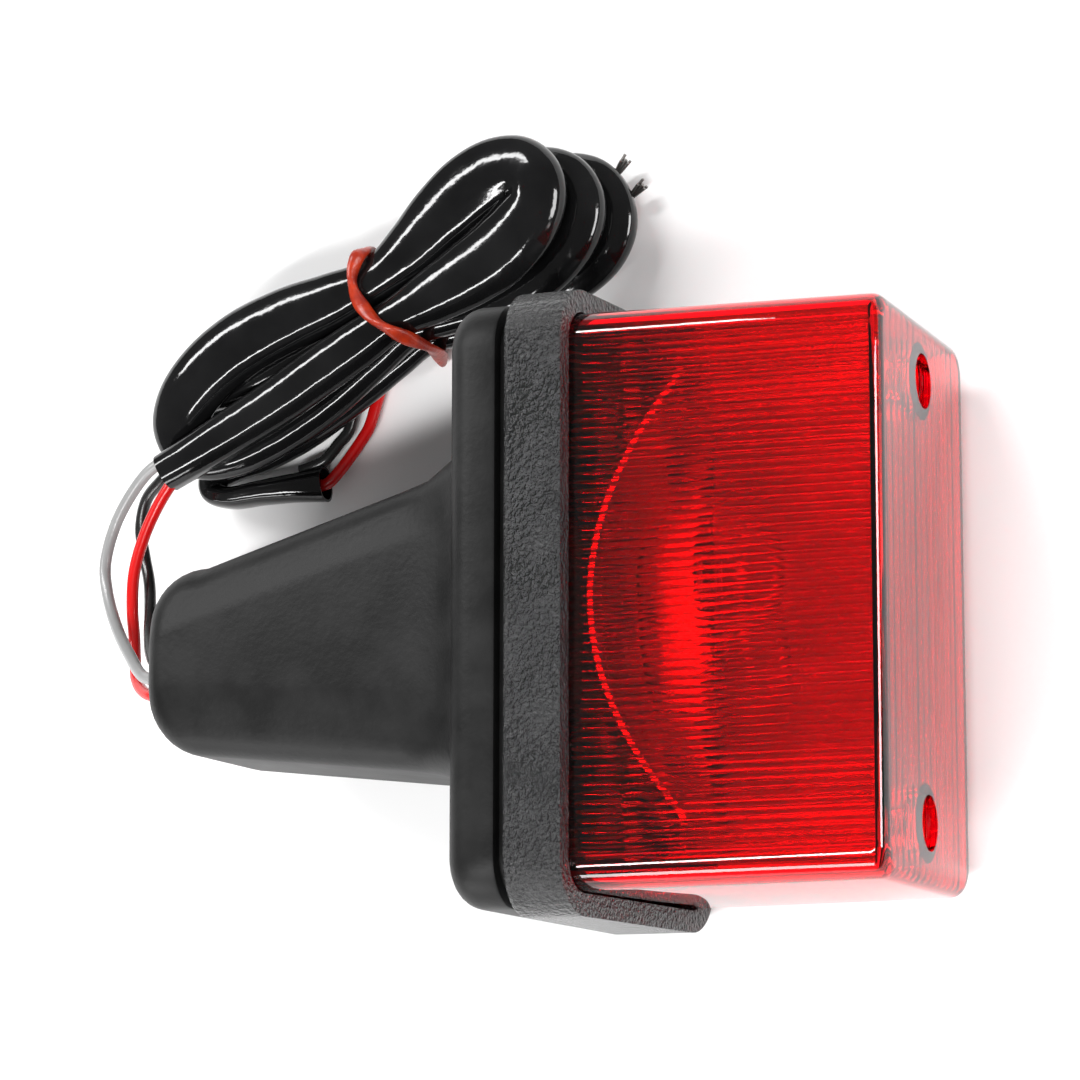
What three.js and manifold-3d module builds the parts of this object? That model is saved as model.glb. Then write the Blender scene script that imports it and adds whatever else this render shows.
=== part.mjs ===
// Rear lamp on a moulded rubber stem, with its harness tied in a hank beside it.
// Millimetres, +Z up. The lamp lies on one long side: +X is the way the lens faces and Y runs
// along the lamp. Inside the lamp group x = 0 is the housing's back and z = 0 is the lamp's axis.

import * as THREE from 'three';
import { mergeVertices } from 'three/addons/utils/BufferGeometryUtils.js';
import Module from 'manifold-3d';

const wasm = await Module();
wasm.setup();

// ---- driving dimensions ----

const GAP = 0.3; // left between pieces that rest on each other
const RUNNING = 0.4; // around a piece that slides or turns in another

const HOUSING = {
  length: 104,
  height: 59.6,
  corner: 9,
  edge: 1,
  floor: 2.6,
  endWall: 3.6, // from the lens's pocket to the housing's ends
  sideWall: 3.05, // from the lens's pocket to its long sides
  rimNear: 10.2,
  rimFar: 15.9,
  trayCorner: 4,
};
const LENS = {
  length: HOUSING.length - 2 * (HOUSING.endWall + RUNNING),
  height: HOUSING.height - 2 * (HOUSING.sideWall + RUNNING),
  corner: 5.5,
  front: 63.3,
  edge: 2.5,
  wall: 2.2,
  draft: 0.012,
};
const LEDGE = { x: 5.2, width: 4.2 }; // the step in the housing that the lens's edge closes on
const GASKET = { thickness: 1.4, width: 3.4, inset: 0.3, corner: 2.5 };

const LENS_SCREW = {
  spacing: 73.5,
  shank: 4,
  head: 8.2,
  headHeight: 2.6,
  sunk: 3.2,
  slotDepth: 1.4,
  slotWidth: 1.2,
  slotMargin: 1.64,
};
const SEAL = { outside: LENS_SCREW.head + 0.2, thickness: 1 };
const COUNTERBORE = SEAL.outside + 0.9;
const POST_WALL = 1.85;
const POST = COUNTERBORE + 2 * POST_WALL; // outside of the lens's two screw posts
const INSERT = { outside: 7, length: 7.5 };
const BOSS = { outside: INSERT.outside + 2 * (GAP + 1.4), height: 9.4 };

const BULB = { cap: 15, capWall: 0.6, capLength: 18.5, baseThick: 3, pin: 2, pinReach: 0.9, pinStagger: 3 };
const BULB_PIN = { x: -4.2, fromBack: 5.3 };
const SOLDER = { across: 2.6, height: 1.1 };
const BULB_GLASS = { outside: 25, wall: 0.8, neck: BULB.cap - 2, tip: 38 };
const FILAMENT = { wire: 0.6, coil: 1, length: 5.8, lift: 1.2, drop: 1.6, setBack: 4.5, hold: 2.8 };
const STEM_GLASS = { foot: 8, footHeight: 2, pinch: 4.4, height: 6 };
const BAYONET_TURN = 20; // degrees from locked to free
const CONTACT_TRAVEL = 2;
const SOCKET = { inside: BULB.cap + 2 * GAP, wall: 0.7, front: 5.7, length: 30, base: 1, baseWidth: 3.3 };
const SOCKET_OUTSIDE = SOCKET.inside + 2 * SOCKET.wall;
const SOCKET_FLANGE = { outside: SOCKET_OUTSIDE + 9, thickness: 1 };
const CARRIER = {
  thickness: 3.6,
  contactSpread: 5.2,
  contact: 3.2,
  contactThick: 0.6,
  shank: 1.8,
  shankOut: 2,
};
const SPRING = { mean: SOCKET.inside - 4.8, wire: 0.9, turns: 3.5 };

const REFLECTOR = {
  vertex: 7,
  focal: 20.6,
  length: 73.5,
  height: LENS.height - 2 * (LENS.wall + 0.65),
  wall: 1.2,
  mouth: SOCKET_FLANGE.outside + 1.4,
  postGap: 0.8,
};

const BOLT = { spread: 52, shank: 5, head: 9.2, headHeight: 3.5, washer: 10, washerThick: 1 };
const NUT = { across: 9.2, thickness: 4, room: 0.7 };

const GROOVE = { width: 1.8, depth: 2.4 }; // the dark line between housing and rubber
const FLANGE = {
  length: HOUSING.length - 3,
  height: HOUSING.height - 2.6,
  corner: 8.5,
  back: 11.2,
  edge: 5,
};
const PLATE = {
  length: FLANGE.length - 17,
  height: FLANGE.height - 13,
  corner: 6,
  thickness: 2,
  hole: SOCKET_OUTSIDE + 6,
};
const STEM = {
  foot: 72.3,
  rootWidth: 50,
  rootHeight: 40,
  rootY: -2.5,
  footWidth: 31.5,
  footHeight: 35,
  footY: -5.2,
  edge: 3,
  corner: 8,
  footCorner: 9,
};
const STEM_HOLLOW = { rootWidth: 36, rootHeight: 28, footWidth: 14, footHeight: 12, footWall: 6.3, corner: 4 };
const STEM_INSERT = { outside: 7, bore: 5, length: 9.5, spread: 20 };

const WIRE = 2.2; // outside of each insulated lead
const STRANDS = 1.5; // outside of a stripped end
const EXIT = { apart: WIRE + 0.8, up: 1.4, down: 1.2 }; // how the leads stand in the grommet
const GROMMET_BORE = 2 * Math.hypot(EXIT.apart / 2, EXIT.down) + WIRE + 0.76;
const GROMMET = { outside: GROMMET_BORE + 2.2, lip: GROMMET_BORE + 4.6, lipThick: 1.4 };
const HANK = { height: 25, leftRadius: 11.5, rightRadius: 14, waist: 6.4, length: 71.5, turn: 25.3 };
const HANK_LEFT = [-70.4, 44.7]; // centre of the hank's left end on the surface
const BAND = { at: 39.7, width: 3, thickness: 2, halfWidth: 9.4, top: 22.8, reach: 6 };
const SLEEVE_END = { bottom: 1.5, height: 6.5 };

// Routes of the free leads in the row's own frame, in millimetres.
const LEADS = {
  grey: [[-68.2, -5.2, 31.2], [-71.5, -6.4, 31.2], [-76.3, -5.7, 29], [-81.2, -0.9, 25.5], [-85.6, 4.6, 22],
    [-89.1, 11.8, 19.4], [-90, 17, 18.6], [-87.8, 24.3, 19], [-82.9, 30.8, 20.4], [-79, 33.8, 21.4]],
  red: [[-68.2, -6.7, 28.6], [-71.6, -8.4, 28.4], [-75.4, -8.8, 27], [-78.7, -7.6, 24.6], [-81.5, -5, 21.8],
    [-83, -1.2, 19.6], [-83.8, 3.3, 18.6], [-84.4, 8.2, 18.4], [-83.9, 14.8, 19], [-82, 20.9, 19.4],
    [-79.4, 26, 19.8], [-76, 30.6, 20.4]],
  black: [[-68.2, -3.7, 28.6], [-71.4, -4.2, 28.6], [-74.6, -3.4, 27.4], [-77.4, -0.8, 24.4],
    [-79.6, 3.2, 20.8], [-81.2, 7.6, 17.6], [-82.8, 13.6, 15], [-84.5, 18.9, 13.8], [-85.3, 24, 14],
    [-83.4, 29, 15.6], [-79.4, 32, 17.6]],
};
const TAILS = {
  red: [[-52.4, 32, 4], [-50.4, 34, 3.6], [-48.2, 37, 3], [-46, 40.4, 2.4], [-45, 42.4, 2]],
  black: [[-53, 36.2, 4.2], [-51.8, 37.6, 3.8], [-50.8, 39.2, 3.2], [-49.8, 40.6, 2.6], [-49.2, 41.6, 2.2]],
};
const TIPS = {
  red: [[7.4, 81.6, 3], [10.2, 83, 3]],
  black: [[4.4, 86.2, 3], [6.6, 88.2, 3]],
};
const SLEEVE_END_OUTLINE = [[-68.5, 31], [-55, 28.4], [-53, 29], [-55.2, 38.2], [-58.2, 36.6]];

// ---- finishes ----

const finish = (color, roughness, metalness = 0) =>
  new THREE.MeshStandardMaterial({ color, roughness, metalness });
const seeThrough = (color, roughness, opacity) =>
  new THREE.MeshStandardMaterial({ color, roughness, transparent: true, opacity });
const FINISH = {
  lens: () => seeThrough(0xc00010, 0.15, 0.75),
  glass: () => seeThrough(0xf2f4f5, 0.05, 0.35),
  housing: () => finish(0x3a3a3b, 0.55),
  rubber: () => finish(0x333334, 0.85),
  mirror: () => finish(0xd8d8d8, 0.12, 1),
  steel: () => finish(0xb4b6b8, 0.35, 1),
  brass: () => finish(0xb9974f, 0.35, 1),
  insulator: () => finish(0x4a3222, 0.6),
  sleeve: () => finish(0x161617, 0.2),
  band: () => finish(0xb8321a, 0.5),
  grey: () => finish(0xc4c4c4, 0.4),
  red: () => finish(0xd01c18, 0.4),
  black: () => finish(0x1a1a1a, 0.4),
};

// ---- solids ----

const ALONG_X = new THREE.Matrix4().makeBasis(
  new THREE.Vector3(0, 1, 0), new THREE.Vector3(0, 0, 1), new THREE.Vector3(1, 0, 0));

/** A closed three.js geometry as a solid that can be cut and joined. */
function solid(geometry) {
  const bare = geometry.index ? geometry.toNonIndexed() : geometry.clone();
  bare.deleteAttribute('normal');
  bare.deleteAttribute('uv');
  const merged = mergeVertices(bare, 1e-4);
  return new wasm.Manifold(new wasm.Mesh({
    numProp: 3,
    vertProperties: new Float32Array(merged.attributes.position.array),
    triVerts: new Uint32Array(merged.index.array),
  }));
}

/** A solid's faces as a three.js geometry. */
function geometryOf(body) {
  const mesh = body.getMesh();
  const geometry = new THREE.BufferGeometry();
  geometry.setAttribute('position', new THREE.BufferAttribute(Float32Array.from(mesh.vertProperties), 3));
  geometry.setIndex(new THREE.BufferAttribute(Uint32Array.from(mesh.triVerts), 1));
  geometry.computeVertexNormals();
  return geometry;
}

/** A rectangle with round corners about the origin. */
function roundedOutline(width, height, radius) {
  const x = width / 2 - radius;
  const y = height / 2 - radius;
  const shape = new THREE.Shape();
  shape.absarc(x, y, radius, 0, Math.PI / 2);
  shape.absarc(-x, y, radius, Math.PI / 2, Math.PI);
  shape.absarc(-x, -y, radius, Math.PI, 1.5 * Math.PI);
  shape.absarc(x, -y, radius, 1.5 * Math.PI, 2 * Math.PI);
  return shape;
}

/** A slab whose outline lies across the lamp's axis, from one x to another; edge rounds both ends. */
function slab(width, height, radius, from, to, edge = 0) {
  const geometry = new THREE.ExtrudeGeometry(roundedOutline(width - 2 * edge, height - 2 * edge,
    Math.max(radius - edge, 0.8)), {
    depth: to - from - 2 * edge,
    curveSegments: 4,
    bevelEnabled: edge > 0,
    bevelSize: edge,
    bevelThickness: edge,
    bevelSegments: 2,
  });
  geometry.translate(0, 0, from + edge);
  geometry.applyMatrix4(ALONG_X);
  return geometry;
}

/**
 * Narrows a geometry along x, from its own size at x = from to the given shares at x = to, while its
 * middle goes from y = fromY to y = toY.
 */
function tapered(geometry, from, to, shareY, shareZ, fromY = 0, toY = 0) {
  const position = geometry.attributes.position;
  for (let i = 0; i < position.count; i += 1) {
    const t = (position.getX(i) - from) / (to - from);
    position.setY(i, position.getY(i) * (1 + t * (shareY - 1)) + fromY + t * (toY - fromY));
    position.setZ(i, position.getZ(i) * (1 + t * (shareZ - 1)));
  }
  return geometry;
}

/** A round bar along x. */
function bar(diameter, from, to, y = 0, z = 0, sides = 16) {
  const geometry = new THREE.CylinderGeometry(diameter / 2, diameter / 2, to - from, sides);
  geometry.rotateZ(-Math.PI / 2);
  return geometry.translate((from + to) / 2, y, z);
}

/** A round bar along x with a hole through it. */
function ring(outside, inside, from, to, y = 0, z = 0, sides = 16) {
  return solid(bar(outside, from, to, y, z, sides)).subtract(solid(bar(inside, from - 1, to + 1, y, z, sides)));
}

/** A body turned about the lamp's axis from [x, radius] pairs. */
function turned(profile, sides = 20) {
  const points = profile.map(([x, radius]) => new THREE.Vector2(radius, x));
  return new THREE.LatheGeometry(points, sides).rotateZ(-Math.PI / 2);
}

/** A round tube along a route. */
function tube(points, diameter, steps, sides = 8) {
  const section = new THREE.Shape();
  for (let i = 0; i < sides; i += 1) {
    const angle = (2 * Math.PI * i) / sides;
    const go = i === 0 ? 'moveTo' : 'lineTo';
    section[go]((diameter / 2) * Math.cos(angle), (diameter / 2) * Math.sin(angle));
  }
  const route = new THREE.CatmullRomCurve3(points.map((p) => new THREE.Vector3(...p)), false, 'centripetal');
  return new THREE.ExtrudeGeometry(section, { steps, extrudePath: route, bevelEnabled: false });
}

const part = new THREE.Group();
const lamp = new THREE.Group();
lamp.position.set((STEM.foot - LENS.front) / 2, 0, HOUSING.height / 2);
part.add(lamp);

function place(name, body, material, group = lamp) {
  const geometry = body instanceof THREE.BufferGeometry ? body : geometryOf(body);
  const mesh = new THREE.Mesh(geometry, material);
  mesh.name = name;
  group.add(mesh);
}

// ---- places worked out from the sizes ----

const LENS_BACK = LEDGE.x + GAP + GASKET.thickness + GAP;
const SCREW_Y = LENS_SCREW.spacing / 2;
const HEAD_FRONT = LENS.front - LENS_SCREW.sunk;
const HEAD_BACK = HEAD_FRONT - LENS_SCREW.headHeight;
const SEAL_BACK = HEAD_BACK - GAP - SEAL.thickness;
const COUNTERBORE_FLOOR = SEAL_BACK - GAP;
const BOSS_TOP = HOUSING.floor + BOSS.height;
const INSERT_BACK = BOSS_TOP - GAP - INSERT.length;
const SCREW_HOLE = LENS_SCREW.shank + 2 * GAP;
const BOLT_Y = BOLT.spread / 2;
const BOLT_HOLE = BOLT.shank + 2 * GAP;
const SOCKET_BACK = SOCKET.front - SOCKET.length;
const SOCKET_FLANGE_BACK = HOUSING.floor + GAP;
const CAP_BACK = BULB_PIN.x - BULB_PIN.fromBack;
const CAP_FRONT = CAP_BACK + BULB.capLength;
const SOLDER_TIP = CAP_BACK - SOLDER.height;
const CONTACT_FRONT = SOLDER_TIP - GAP;
const CARRIER_FRONT = CONTACT_FRONT - CARRIER.contactThick - GAP;
const CARRIER_BACK = CARRIER_FRONT - CARRIER.thickness;
const ENDS = { upper: 1, lower: -1 };

// ---- lens, its gasket and screws ----

function lensSolid() {
  const length = LENS.front - LENS_BACK;
  const narrow = 1 - (2 * LENS.draft * length) / LENS.length;
  const narrowZ = 1 - (2 * LENS.draft * length) / LENS.height;
  const shell = (inset, front, back, edge) => tapered(
    slab(LENS.length - 2 * inset, LENS.height - 2 * inset, LENS.corner - inset, back, front, edge),
    LENS_BACK, LENS.front, narrow, narrowZ);
  let body = solid(shell(0, LENS.front, LENS_BACK - 2 * LENS.edge, LENS.edge));
  body = body.subtract(solid(shell(LENS.wall, LENS.front - LENS.wall, LENS_BACK - 12, 1)));
  for (const side of Object.values(ENDS)) {
    body = body.add(solid(bar(POST, BOSS_TOP + GAP, LENS.front - LENS.wall / 2, side * SCREW_Y)));
  }
  for (const side of Object.values(ENDS)) {
    body = body.subtract(solid(bar(SCREW_HOLE, 0, LENS.front + 1, side * SCREW_Y)));
    body = body.subtract(solid(bar(COUNTERBORE, COUNTERBORE_FLOOR, LENS.front + 1, side * SCREW_Y)));
  }
  return body.subtract(solid(slab(2 * LENS.length, 2 * LENS.height, 2, -30, LENS_BACK)));
}
place('lens', lensSolid(), FINISH.lens());

const gasketHole = 2 * GASKET.width;
const gasketLength = LENS.length - 2 * GASKET.inset;
const gasketHeight = LENS.height - 2 * GASKET.inset;
place('lens_gasket',
  solid(slab(gasketLength, gasketHeight, LENS.corner, LEDGE.x + GAP, LENS_BACK - GAP)).subtract(
    solid(slab(gasketLength - gasketHole, gasketHeight - gasketHole, GASKET.corner, 0, LENS_BACK + 1))),
  FINISH.rubber());

for (const [end, side] of Object.entries(ENDS)) {
  const y = side * SCREW_Y;
  const slotLength = LENS_SCREW.head - 2 * LENS_SCREW.slotMargin;
  const slot = (turn) => solid(new THREE.BoxGeometry(2 * LENS_SCREW.slotDepth, slotLength, LENS_SCREW.slotWidth)
    .rotateX(turn).translate(HEAD_FRONT, y, 0));
  const screw = solid(bar(LENS_SCREW.head, HEAD_BACK, HEAD_FRONT, y))
    .add(solid(bar(LENS_SCREW.shank, INSERT_BACK + 1, HEAD_BACK + 1, y, 0, 14)))
    .subtract(slot(Math.PI / 4)).subtract(slot(-Math.PI / 4));
  place(`lens_screw_${end}`, screw, FINISH.steel());
  place(`screw_seal_${end}`, ring(SEAL.outside, SCREW_HOLE, SEAL_BACK, HEAD_BACK - GAP, y), FINISH.rubber());
  place(`screw_insert_${end}`, ring(INSERT.outside, SCREW_HOLE, INSERT_BACK, BOSS_TOP - GAP, y, 0, 16),
    FINISH.brass());
}

// ---- housing ----

function housingSolid() {
  const { length, height, corner, floor, rimNear, rimFar } = HOUSING;
  const pocketLength = LENS.length + 2 * RUNNING;
  const pocketHeight = LENS.height + 2 * RUNNING;
  const tray = 2 * LEDGE.width;
  let body = solid(slab(length, height, corner, 0, rimFar + 4, HOUSING.edge));
  const tilt = Math.atan2(rimFar - rimNear, height);
  const front = new THREE.BoxGeometry(60, 2 * length, 4 * height).translate(30, 0, 0)
    .rotateY(tilt).translate((rimNear + rimFar) / 2, 0, 0);
  body = body.subtract(solid(front));
  body = body.subtract(solid(slab(pocketLength, pocketHeight, LENS.corner, LEDGE.x, rimFar + 9)));
  body = body.subtract(solid(
    slab(pocketLength - tray, pocketHeight - tray, HOUSING.trayCorner, floor, rimFar + 9)));
  for (const side of Object.values(ENDS)) {
    body = body.add(solid(bar(BOSS.outside, floor - 1, BOSS_TOP, side * SCREW_Y)));
  }
  for (const side of Object.values(ENDS)) {
    body = body.subtract(solid(bar(INSERT.outside + 2 * GAP, INSERT_BACK - GAP, BOSS_TOP + 1, side * SCREW_Y)));
    body = body.subtract(solid(bar(BOLT_HOLE, -1, floor + 1, side * BOLT_Y)));
  }
  return body.subtract(solid(bar(SOCKET_OUTSIDE + 2 * GAP, -1, floor + 1)));
}
place('housing', housingSolid(), FINISH.housing());

// ---- reflector ----

function reflectorSolid() {
  const { vertex, focal, length, height, wall, mouth } = REFLECTOR;
  const reach = Math.hypot(length, height) / 2 + 2;
  const bowl = (radius) => vertex + (radius * radius) / (4 * focal);
  const steps = [...Array(8).keys()].map((i) => mouth / 2 + ((reach - mouth / 2) * i) / 7);
  const back = steps.map((radius) => [bowl(radius) - wall * Math.hypot(1, radius / (2 * focal)), radius]);
  const face = steps.map((radius) => [bowl(radius), radius]).reverse();
  let body = solid(turned([...back, ...face, back[0]], 28));
  body = body.add(ring(mouth + 2 * wall, mouth, SOCKET_FLANGE_BACK, bowl(mouth / 2) - 0.4, 0, 0, 28));
  body = body.intersect(solid(slab(length, height, 2, 0, LENS.front)));
  for (const side of Object.values(ENDS)) {
    body = body.subtract(solid(bar(POST + 2 * REFLECTOR.postGap, 0, LENS.front, side * SCREW_Y)));
  }
  return body;
}
place('reflector', reflectorSolid(), FINISH.mirror());

// ---- bulb holder: shell, sprung contact carrier ----

/** The windows that the bayonet pins turn in, and the ways that they come in by. */
function bayonetCuts() {
  const cuts = [];
  for (const [angle, pinX] of [[0, BULB_PIN.x], [Math.PI, BULB_PIN.x + BULB.pinStagger]]) {
    const width = BULB.pin + 2 * RUNNING;
    const cut = (from, to, turn) => new THREE.BoxGeometry(to - from, width, 4 * SOCKET.wall)
      .translate((from + to) / 2, 0, (SOCKET_OUTSIDE - SOCKET.wall) / 2).rotateX(angle + turn);
    for (let step = 0; step <= 4; step += 1) {
      const turn = (THREE.MathUtils.degToRad(BAYONET_TURN) * step) / 4;
      cuts.push(cut(pinX - CONTACT_TRAVEL - width / 2, pinX + width / 2, turn));
    }
    cuts.push(cut(pinX, SOCKET.front + 1, THREE.MathUtils.degToRad(BAYONET_TURN)));
  }
  return cuts;
}

const socketFloor = SOCKET_BACK + SOCKET.base;
const flangeFront = SOCKET_FLANGE_BACK + SOCKET_FLANGE.thickness;
let socket = ring(SOCKET_OUTSIDE, SOCKET.inside, socketFloor, SOCKET.front, 0, 0, 24)
  .add(ring(SOCKET_FLANGE.outside, SOCKET.inside, SOCKET_FLANGE_BACK, flangeFront, 0, 0, 24))
  .add(ring(SOCKET_OUTSIDE, SOCKET.inside - 2 * SOCKET.baseWidth, SOCKET_BACK, socketFloor, 0, 0, 24));
for (const cut of bayonetCuts()) socket = socket.subtract(solid(cut));
place('socket_shell', socket, FINISH.steel());

let carrier = solid(bar(SOCKET.inside - 2 * GAP, CARRIER_BACK, CARRIER_FRONT));
for (const [end, side] of Object.entries(ENDS)) {
  const y = (side * CARRIER.contactSpread) / 2;
  const hole = CARRIER.shank + 2 * GAP;
  carrier = carrier.subtract(solid(bar(hole, CARRIER_BACK - 1, CARRIER_FRONT + 1, y, 0, 12)));
  const contact = solid(bar(CARRIER.contact, CARRIER_FRONT + GAP, CONTACT_FRONT, y, 0, 14)).add(solid(
    bar(CARRIER.shank, CARRIER_BACK - CARRIER.shankOut, CONTACT_FRONT - CARRIER.contactThick / 2, y, 0, 12)));
  place(`socket_contact_${end}`, contact, FINISH.brass());
}
place('contact_carrier', carrier, FINISH.insulator());

const springFrom = socketFloor + GAP + SPRING.wire / 2;
const springTo = CARRIER_BACK - GAP - SPRING.wire / 2;
const springTurns = [...Array(Math.round(SPRING.turns * 10) + 1).keys()].map((i) => [
  springFrom + ((springTo - springFrom) * i) / (SPRING.turns * 10),
  (SPRING.mean / 2) * Math.cos((2 * Math.PI * i) / 10),
  (SPRING.mean / 2) * Math.sin((2 * Math.PI * i) / 10),
]);
place('contact_spring', tube(springTurns, SPRING.wire, springTurns.length - 1, 6), FINISH.steel());

// ---- bulb ----

let cap = ring(BULB.cap, BULB.cap - 2 * BULB.capWall, CAP_BACK, CAP_FRONT, 0, 0, 20);
for (const [side, pinX] of [[1, BULB_PIN.x], [-1, BULB_PIN.x + BULB.pinStagger]]) {
  const pinLength = BULB.pinReach + BULB.capWall;
  const pinZ = side * (BULB.cap / 2 + BULB.pinReach - pinLength / 2);
  cap = cap.add(solid(new THREE.CylinderGeometry(BULB.pin / 2, BULB.pin / 2, pinLength, 12)
    .rotateX(Math.PI / 2).translate(pinX, 0, pinZ)));
}
place('bulb_cap', cap, FINISH.brass());

let bulbBase = solid(bar(BULB.cap - 2 * BULB.capWall - 2 * GAP, CAP_BACK, CAP_BACK + BULB.baseThick));
for (const side of Object.values(ENDS)) {
  const y = (side * CARRIER.contactSpread) / 2;
  bulbBase = bulbBase.add(solid(bar(SOLDER.across, SOLDER_TIP, CAP_BACK + 1, y, 0, 12)));
}
place('bulb_base', bulbBase, FINISH.insulator());

function glassProfile(radius, neck, tip, steps = 9) {
  const centre = tip - radius;
  const start = Math.asin(neck / radius);
  return [...Array(steps).keys()].map((i) => {
    const angle = Math.PI - start - ((Math.PI - start) * i) / (steps - 1);
    return [centre + radius * Math.cos(angle), Math.max(radius * Math.sin(angle), 0)];
  });
}
const neckX = CAP_FRONT + GAP;
const glassOut = glassProfile(BULB_GLASS.outside / 2, BULB_GLASS.neck / 2, BULB_GLASS.tip);
const glassIn = glassProfile(BULB_GLASS.outside / 2 - BULB_GLASS.wall, BULB_GLASS.neck / 2 - BULB_GLASS.wall,
  BULB_GLASS.tip - BULB_GLASS.wall);
place('bulb_glass', solid(turned([[neckX, 0], [neckX, BULB_GLASS.neck / 2], ...glassOut]))
  .subtract(solid(turned([[neckX - 1, 0], [neckX - 1, BULB_GLASS.neck / 2 - BULB_GLASS.wall], ...glassIn]))),
FINISH.glass());

const filamentX = REFLECTOR.vertex + REFLECTOR.focal;
let filament = solid(bar(STEM_GLASS.foot, neckX, neckX + STEM_GLASS.footHeight, 0, 0, 16))
  .add(solid(bar(STEM_GLASS.pinch, neckX, neckX + STEM_GLASS.height, 0, 0, 12)));
for (const [z, x] of [[FILAMENT.lift, filamentX], [-FILAMENT.drop, filamentX - FILAMENT.setBack]]) {
  for (const side of Object.values(ENDS)) {
    const foot = [neckX + STEM_GLASS.height - 1, (side * FILAMENT.hold) / 2, 0.8 * z];
    const bend = [x - 5, 0.9 * side * FILAMENT.hold, z];
    filament = filament.add(solid(tube([foot, bend, [x, side * FILAMENT.hold, z]], FILAMENT.wire, 4, 6)));
  }
  const coil = FILAMENT.coil / 2;
  filament = filament.add(solid(new THREE.CylinderGeometry(coil, coil, FILAMENT.length, 8).translate(x, 0, z)));
}
place('bulb_filaments', filament, FINISH.steel());

// ---- fastening of the housing to the rubber ----

const plateBack = -GAP - PLATE.thickness;
let plate = solid(slab(PLATE.length, PLATE.height, PLATE.corner, plateBack, -GAP))
  .subtract(solid(bar(PLATE.hole, plateBack - 1, 1)));
for (const [end, side] of Object.entries(ENDS)) {
  const y = side * BOLT_Y;
  const washerTop = HOUSING.floor + GAP + BOLT.washerThick;
  plate = plate.subtract(solid(bar(BOLT_HOLE, plateBack - 1, 1, y)));
  place(`mount_bolt_${end}`, solid(bar(BOLT.head, washerTop + GAP, washerTop + GAP + BOLT.headHeight, y, 0, 6))
    .add(solid(bar(BOLT.shank, plateBack - NUT.thickness - 1, washerTop + 1, y, 0, 16))), FINISH.steel());
  place(`mount_washer_${end}`, ring(BOLT.washer, BOLT_HOLE, HOUSING.floor + GAP, washerTop, y), FINISH.steel());
  place(`weld_nut_${end}`, solid(bar(NUT.across, plateBack - GAP - NUT.thickness, plateBack - GAP, y, 0, 6))
    .subtract(solid(bar(BOLT_HOLE, -20, 1, y))), FINISH.steel());
}
place('mount_plate', plate, FINISH.steel());

// ---- rubber mount ----

/** The stem seen from above, with its foot's two corners rounded, up to the middle of the flange. */
function stemPlan() {
  const edge = (x, side) => {
    const t = (x + FLANGE.back) / (FLANGE.back - STEM.foot);
    return STEM.rootY + t * (STEM.footY - STEM.rootY)
      + (side / 2) * (STEM.rootWidth + t * (STEM.footWidth - STEM.rootWidth));
  };
  const foot = -STEM.foot;
  const turn = foot + STEM.footCorner;
  const middle = -FLANGE.back / 2;
  const shape = new THREE.Shape();
  shape.moveTo(middle, edge(middle, 1));
  shape.lineTo(turn, edge(turn, 1));
  shape.quadraticCurveTo(foot, edge(foot, 1), foot, edge(foot, 1) - STEM.footCorner);
  shape.lineTo(foot, edge(foot, -1) + STEM.footCorner);
  shape.quadraticCurveTo(foot, edge(foot, -1), turn, edge(turn, -1));
  shape.lineTo(middle, edge(middle, -1));
  return shape;
}

function rubberSolid() {
  const flangeBack = -FLANGE.back;
  const foot = -STEM.foot;
  const hollowBack = foot + STEM_HOLLOW.footWall;
  let body = solid(slab(FLANGE.length, FLANGE.height, FLANGE.corner, flangeBack, FLANGE.edge - GROOVE.width,
    FLANGE.edge)).subtract(solid(new THREE.BoxGeometry(40, 200, 200).translate(20 - GROOVE.width, 0, 0)));
  body = body.add(solid(slab(FLANGE.length - 2 * GROOVE.depth, FLANGE.height - 2 * GROOVE.depth,
    FLANGE.corner - GROOVE.depth, flangeBack + 2, -GAP)));
  const stem = slab(STEM.rootWidth, STEM.rootHeight, STEM.corner, foot, 0, STEM.edge);
  tapered(stem, flangeBack, foot, STEM.footWidth / STEM.rootWidth, STEM.footHeight / STEM.rootHeight,
    STEM.rootY, STEM.footY);
  const plan = new THREE.ExtrudeGeometry(stemPlan(), {
    depth: 2 * STEM.rootHeight,
    curveSegments: 6,
    bevelEnabled: false,
  });
  body = body.add(solid(stem).intersect(solid(plan.translate(0, 0, -STEM.rootHeight))));
  const hollow = slab(STEM_HOLLOW.rootWidth, STEM_HOLLOW.rootHeight, STEM_HOLLOW.corner, hollowBack, 1);
  tapered(hollow, flangeBack, hollowBack, STEM_HOLLOW.footWidth / STEM_HOLLOW.rootWidth,
    STEM_HOLLOW.footHeight / STEM_HOLLOW.rootHeight, 0, STEM.footY);
  body = body.subtract(solid(hollow));
  body = body.subtract(solid(slab(PLATE.length + 2 * GAP, PLATE.height + 2 * GAP, PLATE.corner + GAP,
    plateBack - GAP, 1)));
  body = body.subtract(solid(bar(GROMMET.outside + 2 * GAP, foot - 1, hollowBack + 1, STEM.footY)));
  for (const side of Object.values(ENDS)) {
    const nutRoom = NUT.across + 2 * NUT.room;
    body = body.subtract(solid(bar(nutRoom, plateBack - NUT.thickness - 2, 0, side * BOLT_Y)));
    body = body.subtract(solid(bar(STEM_INSERT.outside + 2 * GAP, foot - 1, foot + STEM_INSERT.length + 2 * GAP,
      STEM.footY, (side * STEM_INSERT.spread) / 2, 16)));
  }
  return body;
}
place('rubber_mount', rubberSolid(), FINISH.rubber());

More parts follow.
